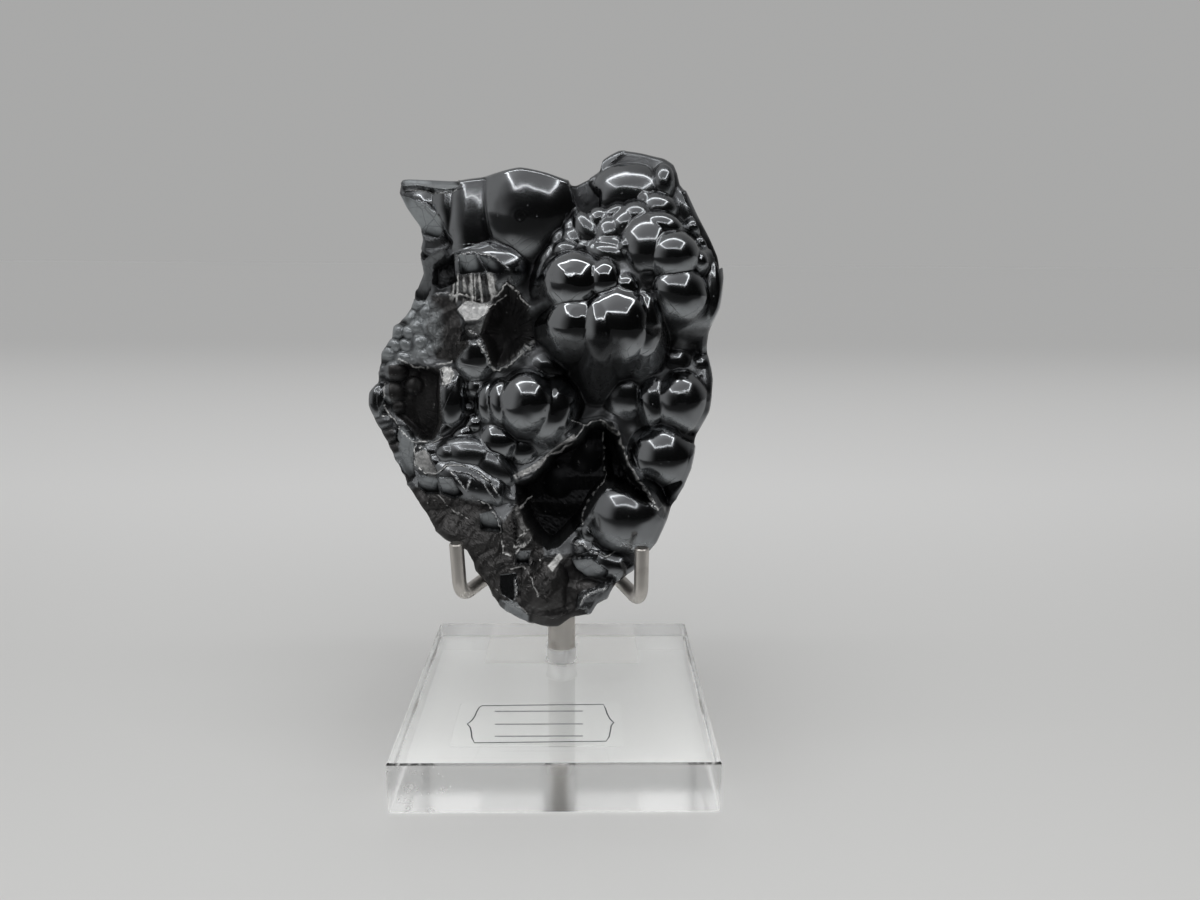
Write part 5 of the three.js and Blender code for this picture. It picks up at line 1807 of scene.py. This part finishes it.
@dataclass(frozen=True)
class HematiteFinish:
    """Glassy black metal-grey skin, with dark rough breaks, pale cut faces, silvery edges with painted
    glints, and painted shade.
    """

    skin: Colour = (0.196, 0.204, 0.214)
    broken: Colour = (0.062, 0.06, 0.06)
    pale: Colour = (0.35, 0.375, 0.39)
    # near white for silvery breaks and for painted glints and highlights
    silver_and_glint: Colour = (0.86, 0.86, 0.85)
    # near black painted shade for shut in places
    painted_shade_colour: Colour = (0.008, 0.008, 0.009)

    # Noise: size of its patches in millimetres, detail, roughness.
    fine: Triple = (0.9, 4.0, 0.65)
    broad: Triple = (7.0, 3.0, 0.5)
    fibre_scale: float = 3.2
    fibre_detail: float = 3.0

    # Cells in millimetres, and the width of the lines between them as a share.
    plates: float = 4.2
    plate_line: float = 0.03
    crazing: float = 6.5
    crazing_line: float = 0.012
    pits: float = 1.9
    pit: Span = (0.05, 0.12)
    with_pit: Span = (0.62, 0.66)

    def build(self) -> Material:
        """Builds the material from the marks of the stone."""
        n = Nodes.new("hematite")
        place = n.place()
        marks = {mark: n.mark(mark) for mark in Mark}
        fine, broad = n.noise(place, *self.fine), n.noise(place, *self.broad)
        plate = n.between(n.cells(place, self.plates, "DISTANCE_TO_EDGE"), 0.0, self.plate_line, 1.0, 0.0)
        # Slopes that face down turn partly pale: crazing with a painted floor reflection.
        crazed_and_painted_reflection = n.times(marks[Mark.CRAZED_AND_PAINTED_REFLECTION], n.between(fine, 0.25, 0.6, 0.25, 0.5))
        marks[Mark.PALE] = n.math("MAXIMUM", marks[Mark.PALE], crazed_and_painted_reflection)
        broken, pale, silver_and_glint = marks[Mark.BROKEN], marks[Mark.PALE], marks[Mark.SILVER_AND_GLINT]
        chalky = n.plus(n.times(silver_and_glint, 0.75), n.times(pale, 0.5), n.times(broken, 0.3))
        dull = n.plus(marks[Mark.SATIN], broken, marks[Mark.PAINTED_SHADE])
        return n.dress({
            "Base Color": self.colour(n, marks, fine, broad, plate),
            "Roughness": self.roughness(n, marks, fine, broad),
            "Metallic": n.minus(1.0, chalky, clamp=True),
            "Coat Weight": n.minus(1.0, dull, clamp=True),
            "Coat Roughness": 0.03,
            "Coat IOR": 1.5,
            "Normal": self.bumps(n, place, marks, fine, plate),
        })

    def colour(self, n: Nodes, marks: Readings, fine: Socket, broad: Socket, plate: Socket) -> Socket:
        """Skin, broken ground, pale faces, silvery edges with painted glints, and painted shade last.

        Args:
            n: the material's nodes.
            marks: the stone's marks.
            fine: the fine noise.
            broad: the broad noise.
            plate: 1 on the lines between pale plates, which are darker.

        Returns:
            The colour.
        """
        uneven = n.between(broad, 0.3, 0.7)
        dark = n.mix(uneven, tuple(0.7 * part for part in self.broken), self.broken)
        colour = n.mix(uneven, self.skin, tuple(0.9 * part for part in self.skin))
        colour = n.mix(n.between(marks[Mark.BROKEN], 0.15, 0.7), colour, dark)
        sheet = n.times(marks[Mark.PALE], n.between(fine, 0.25, 0.6, 0.75, 1.0))
        colour = n.mix(n.times(sheet, n.minus(1.0, n.times(plate, 0.7))), colour, self.pale)
        # painted glints and highlights, with real silvery breaks, in near white
        bright = n.times(marks[Mark.SILVER_AND_GLINT], n.between(fine, 0.4, 0.6, 0.5, 1.0))
        colour = n.mix(bright, colour, self.silver_and_glint)
        # painted shade last, lighter where the silvery mark is
        open_share = n.times(marks[Mark.SILVER_AND_GLINT], 0.6)
        return n.mix(n.times(marks[Mark.PAINTED_SHADE], n.minus(0.95, open_share)), colour, self.painted_shade_colour)

    @staticmethod
    def roughness(n: Nodes, marks: Readings, fine: Socket, broad: Socket) -> Socket:
        """A clear polish on the skin, and each mark adds its share of roughness."""
        polish = n.between(broad, 0.3, 0.75, 0.08, 0.12)
        broken = n.times(marks[Mark.BROKEN], n.between(fine, 0.3, 0.7, 0.1, 0.25))
        satin, pale = n.times(marks[Mark.SATIN], 0.15), n.times(marks[Mark.PALE], 0.2)
        return n.plus(polish, satin, broken, pale, n.times(marks[Mark.PAINTED_SHADE], 0.12), clamp=True)

    def bumps(self, n: Nodes, place: Socket, marks: Readings, fine: Socket, plate: Socket) -> Socket:
        """Pinholes, hairline cracks and the lines of pale faces, then fibres and grain.

        Args:
            n: the material's nodes.
            place: the place on the stone.
            marks: the stone's marks.
            fine: the fine noise.
            plate: 1 on the lines between pale plates.

        Returns:
            The normal.
        """
        lone = n.cells(place, self.pits, output="Color")
        pit = n.between(n.cells(place, self.pits), *self.pit, 1.0, 0.0)
        pit = n.times(pit, n.between(lone, *self.with_pit))
        crack = n.between(n.cells(place, self.crazing, "DISTANCE_TO_EDGE"), 0.0, self.crazing_line, 1.0, 0.0)
        crack = n.times(crack, marks[Mark.CRAZED_AND_PAINTED_REFLECTION])
        wear = n.bump(n.times(n.plus(pit, crack, n.times(plate, marks[Mark.PALE])), -1.0), 0.05)
        fibre = n.add("ShaderNodeTexNoise", noise_dimensions="1D")
        inputs = {"W": marks[Mark.GRAIN], "Scale": self.fibre_scale, "Detail": self.fibre_detail}
        streak = n.feed(fibre, inputs)["Fac"]
        rough = n.plus(marks[Mark.BROKEN], n.times(marks[Mark.SILVER_AND_GLINT], 0.6), clamp=True)
        ground = n.times(n.plus(n.times(streak, 1.2), n.times(fine, 0.4)), rough)
        return n.bump(ground, 0.22, 0.9, wear)


@dataclass(frozen=True)
class AcrylicFinish:
    """Clear polished acrylic, with a pad under it near the back and faint smears in front.

    A pair of numbers says between which two places a smooth step rises or falls, in metres.
    """

    clear: Colour = (0.985, 0.99, 0.988)
    pad: Colour = (0.99, 0.985, 0.97)
    polish: float = 0.012

    pad_sides: Span = (0.0224, 0.0229)
    pad_front: Span = (0.0204, 0.0209)
    pad_top: Span = (0.0001, 0.0002)
    pad_rough: float = 0.4

    # Smears: size in millimetres, detail, roughness, where in the noise they begin and are full.
    smear: tuple[float, ...] = (2.5, 5.0, 0.7, 0.58, 0.72)
    smear_side: Span = (-0.026, -0.022)
    smear_front: Span = (-0.0378, -0.0376)
    smear_rough: float = 0.35

    edge: Span = (0.0377, 0.038)
    edge_rough: float = 0.2

    # The bore: its middle along y, and the squares of the distances to that middle.
    bore_y: float = 0.0235
    bore: Span = (0.000021, 0.000023)
    bore_rough: float = 0.4

    def build(self) -> Material:
        """Builds the material, its pad and smears placed by distance on the block."""
        n = Nodes.new("clear_acrylic")
        place = n.place()
        x, y, z = n.axes(place)
        to_side, to_front = n.math("ABSOLUTE", x), n.math("ABSOLUTE", y)
        wide, under = n.between(to_side, *self.pad_sides, 1.0, 0.0), n.between(z, *self.pad_top, 1.0, 0.0)
        pad = n.times(wide, n.between(y, *self.pad_front), under)
        left = n.times(n.between(x, *self.smear_side, 1.0, 0.0), n.between(y, *self.smear_front, 1.0, 0.0))
        smear = n.times(n.patches(place, *self.smear), left, self.smear_rough)
        frosted = n.between(n.math("MAXIMUM", to_side, to_front), *self.edge, 0.0, self.edge_rough)
        ahead = n.minus(y, self.bore_y)
        away = n.plus(n.times(x, x), n.times(ahead, ahead))
        drilled = n.between(away, *self.bore, self.bore_rough, 0.0)
        return n.dress({
            "Base Color": n.mix(pad, self.clear, self.pad),
            "Roughness": n.plus(smear, n.times(pad, self.pad_rough), frosted, drilled, self.polish),
            "Transmission Weight": 1.0,
            "IOR": 1.49,
        })


@dataclass(frozen=True)
class SteelFinish:
    """Brushed warm grey steel with soft marks."""

    colour: Colour = (0.56, 0.535, 0.505)
    dark: Colour = (0.40, 0.375, 0.35)
    stretch: Triple = (1.0, 1.0, 0.12)

    # Streaks and stains: size in millimetres, detail, roughness, and for stains where they begin
    # in the noise and are full.
    streak: Triple = (0.5, 3.0, 0.6)
    stain: tuple[float, ...] = (5.0, 4.0, 0.6, 0.5, 0.75)
    stained: float = 0.8

    def build(self) -> Material:
        """Builds the material: streaks along the height, and darker stained patches."""
        n = Nodes.new("brushed_steel")
        place = n.place()
        drawn = n.feed(n.add("ShaderNodeMapping"), {"Vector": place, "Scale": self.stretch})[0]
        streak = n.noise(drawn, *self.streak)
        stain = n.times(n.patches(place, *self.stain), self.stained)
        return n.dress({
            "Base Color": n.mix(stain, self.colour, self.dark),
            "Roughness": n.between(streak, 0.3, 0.7, 0.3, 0.46),
            "Metallic": 1.0,
            "Normal": n.bump(streak, 0.02, 0.5),
        })


@dataclass(frozen=True)
class FilmFinish:
    """Clear film, faintly milky."""

    colour: Colour = (0.97, 0.975, 0.97)
    clear: Colour = (1.0, 1.0, 1.0)
    clouds: float = 6.0

    def build(self) -> Material:
        """Builds the film's material."""
        n = Nodes.new("label_film")
        return n.dress({
            "Base Color": n.mix(n.noise(n.place(), self.clouds), self.colour, self.clear),
            "Roughness": 0.06,
            "Transmission Weight": 1.0,
            "IOR": 1.12,
        })


@dataclass(frozen=True)
class InkFinish:
    """Dark grey print, a little worn."""

    colour: Colour = (0.035, 0.042, 0.048)
    faded: Colour = (0.12, 0.13, 0.14)

    # Worn patches: size in millimetres, detail, roughness, where in the noise they begin and are full.
    worn: tuple[float, ...] = (1.2, 4.0, 0.5, 0.4, 0.75)

    def build(self) -> Material:
        """Builds the print's material."""
        n = Nodes.new("print")
        worn = n.patches(n.place(), *self.worn)
        return n.dress({"Base Color": n.mix(worn, self.colour, self.faded), "Roughness": 0.45})


# ------------------------------------------------------------------ the studio


@dataclass(frozen=True)
class FloorFinish:
    """Pale floor with painted shade: darker near the front and into the wall far behind, where
    the tent's light falls off.

    A pair of numbers says between which two places along y a smooth step rises, in metres.
    """

    # near and far are darker than the middle: painted shade
    near: Colour = (0.635, 0.635, 0.63)
    middle: Colour = (0.86, 0.86, 0.86)
    far: Colour = (0.665, 0.665, 0.665)
    # seen only in mirror-like reflections: a painted dark reflection of the open front
    dark: Colour = (0.04, 0.04, 0.04)
    to_middle: Span = (-0.02, 0.27)
    to_far: Span = (0.3, 1.1)
    in_front: Span = (-0.3, -0.06)

    def build(self) -> Material:
        """Builds the floor's material. Mirror-like reflections see its front part dark, painted."""
        n = Nodes.new("floor")
        y = n.axes(n.place())[1]
        colour = n.mix(n.between(y, *self.to_middle), self.near, self.middle)
        colour = n.mix(n.between(y, *self.to_far), colour, self.far)
        ahead = n.times(n.between(y, *self.in_front, 1.0, 0.0), n.mirror_rays())
        return n.dress({"Base Color": n.mix(ahead, colour, self.dark), "Roughness": 0.8})


@dataclass(frozen=True)
class Panel:
    """A light panel that faces down, its middle and size in millimetres."""

    name: str
    middle: Triple
    size: tuple[float, float]
    strength: float

    def build(self) -> None:
        """Hangs the panel. Its power is its strength times its area times four."""
        data = bpy.data.lights.new(self.name, "AREA")
        data.shape = "RECTANGLE"
        data.size, data.size_y = self.size[0] * MM, self.size[1] * MM
        data.energy = self.strength * 4.0 * data.size * data.size_y
        made = bpy.data.objects.new(self.name, data)
        made.location = [value * MM for value in self.middle]
        made.visible_camera = False
        bpy.context.scene.collection.objects.link(made)


# One soft window of light over the stand, with a bright strip along each of its edges.
PANELS = (
    Panel("soft_panel", (0.0, -165.0, 322.0), (350.0, 230.0), 0.35),
    Panel("strip_front", (0.0, -285.0, 320.0), (362.0, 12.0), 8.0),
    Panel("strip_back", (0.0, -45.0, 320.0), (362.0, 12.0), 8.0),
    Panel("strip_left", (-175.0, -165.0, 320.0), (12.0, 226.0), 8.0),
    Panel("strip_right", (175.0, -165.0, 320.0), (12.0, 226.0), 8.0),
)


@dataclass
class Studio:
    """Pale floor, a tent of soft light that is open in front, and the camera."""

    # The camera: its place in millimetres, its turns in degrees, its lens and sensor.
    camera_place: Triple = (6.6, -211.8, 125.0)
    pitch: float = 12.8
    yaw: float = 1.06
    roll: float = 0.4
    lens: float = 25.74
    sensor: float = 36.0
    near: float = 0.01

    # The tent: its grey, the way to its bright back, and its brightness to the back and to the
    # right, each as from, to, brightness there and there. Light for the floor and clear pieces.
    grey: tuple[float, float, float, float] = (0.395, 0.395, 0.392, 1.0)
    back_way: Place = (-0.42, 0.906)
    front_to_back: tuple[float, ...] = (-0.62, 0.1, 0.02, 0.85)
    left_to_right: tuple[float, ...] = (-0.8, 0.8, 1.5, 0.8)
    onto_floor: float = 0.6
    through_clear: float = 1.1

    # The floor, in metres.
    floor_reach: float = 12.0
    floor_z: float = -0.0003

    def camera(self) -> None:
        """Stands the camera at the viewing place."""
        data = bpy.data.cameras.new("camera")
        data.lens = self.lens
        data.sensor_width = self.sensor
        data.clip_start = self.near
        made = bpy.data.objects.new("camera", data)
        made.location = [value * MM for value in self.camera_place]
        turn = Matrix.Identity(3)
        for axis, degrees in (("Z", -self.yaw), ("X", 90.0 - self.pitch), ("Z", self.roll)):
            turn = turn @ Matrix.Rotation(math.radians(degrees), 3, axis)
        made.rotation_euler = turn.to_euler()
        bpy.context.scene.collection.objects.link(made)
        bpy.context.scene.camera = made

    def world(self) -> None:
        """Plain pale grey all round.

        Mirror-like reflections see it darken to the open front, and a little to the right. Light
        that falls on the floor is a little stronger, and so is light seen through clear pieces.
        """
        world = bpy.data.worlds.new("studio")
        bpy.context.scene.world = world
        world.use_nodes = True
        n = Nodes(world.node_tree)
        path = n.add("ShaderNodeLightPath").outputs
        x, y, _ = n.axes(n.add("ShaderNodeTexCoord").outputs["Generated"])
        way = n.plus(n.times(y, self.back_way[1]), n.times(x, self.back_way[0]))
        tent = n.times(n.between(way, *self.front_to_back), n.between(x, *self.left_to_right))
        level = n.feed(n.add("ShaderNodeMix", data_type="FLOAT"), {0: n.mirror_rays(), 2: 1.0, 3: tent})[0]
        falls = n.times(n.math("GREATER_THAN", path["Diffuse Depth"], 0.5), self.onto_floor)
        shines = n.times(path["Is Transmission Ray"], self.through_clear)
        strength = n.times(level, n.plus(1.0, falls, shines))
        n.feed(world.node_tree.nodes["Background"], {"Color": self.grey, "Strength": strength})

    def floor(self) -> None:
        """Lays the floor just under the block."""
        mesh = bpy.data.meshes.new("floor")
        corners = np.array([(-1, -1), (1, -1), (1, 1), (-1, 1)]) * self.floor_reach
        mesh.from_pydata(at_height(corners, self.floor_z).tolist(), [], [(0, 1, 2, 3)])
        mesh.materials.append(FloorFinish().build())
        made = bpy.data.objects.new("floor", mesh)
        bpy.context.scene.collection.objects.link(made)

    def build(self) -> None:
        """Builds the studio."""
        bpy.context.scene.view_settings.view_transform = "Standard"
        self.camera()
        self.world()
        for panel in PANELS:
            panel.build()
        self.floor()


def main() -> None:
    """Builds the studio and the pieces in order."""
    logging.basicConfig(level=logging.INFO, format="%(name)s: %(message)s")
    Studio().build()
    stone, hematite = Stone(), HematiteFinish().build()
    stone.build(hematite)
    for inlay in INLAYS:
        inlay.build(stone, hematite)
    steel = SteelFinish().build()
    Block().build(AcrylicFinish().build())
    Post().build(steel)
    for prong in PRONGS:
        prong.build(steel)
    Label().build(FilmFinish().build(), InkFinish().build())


if __name__ == "__main__":
    main()
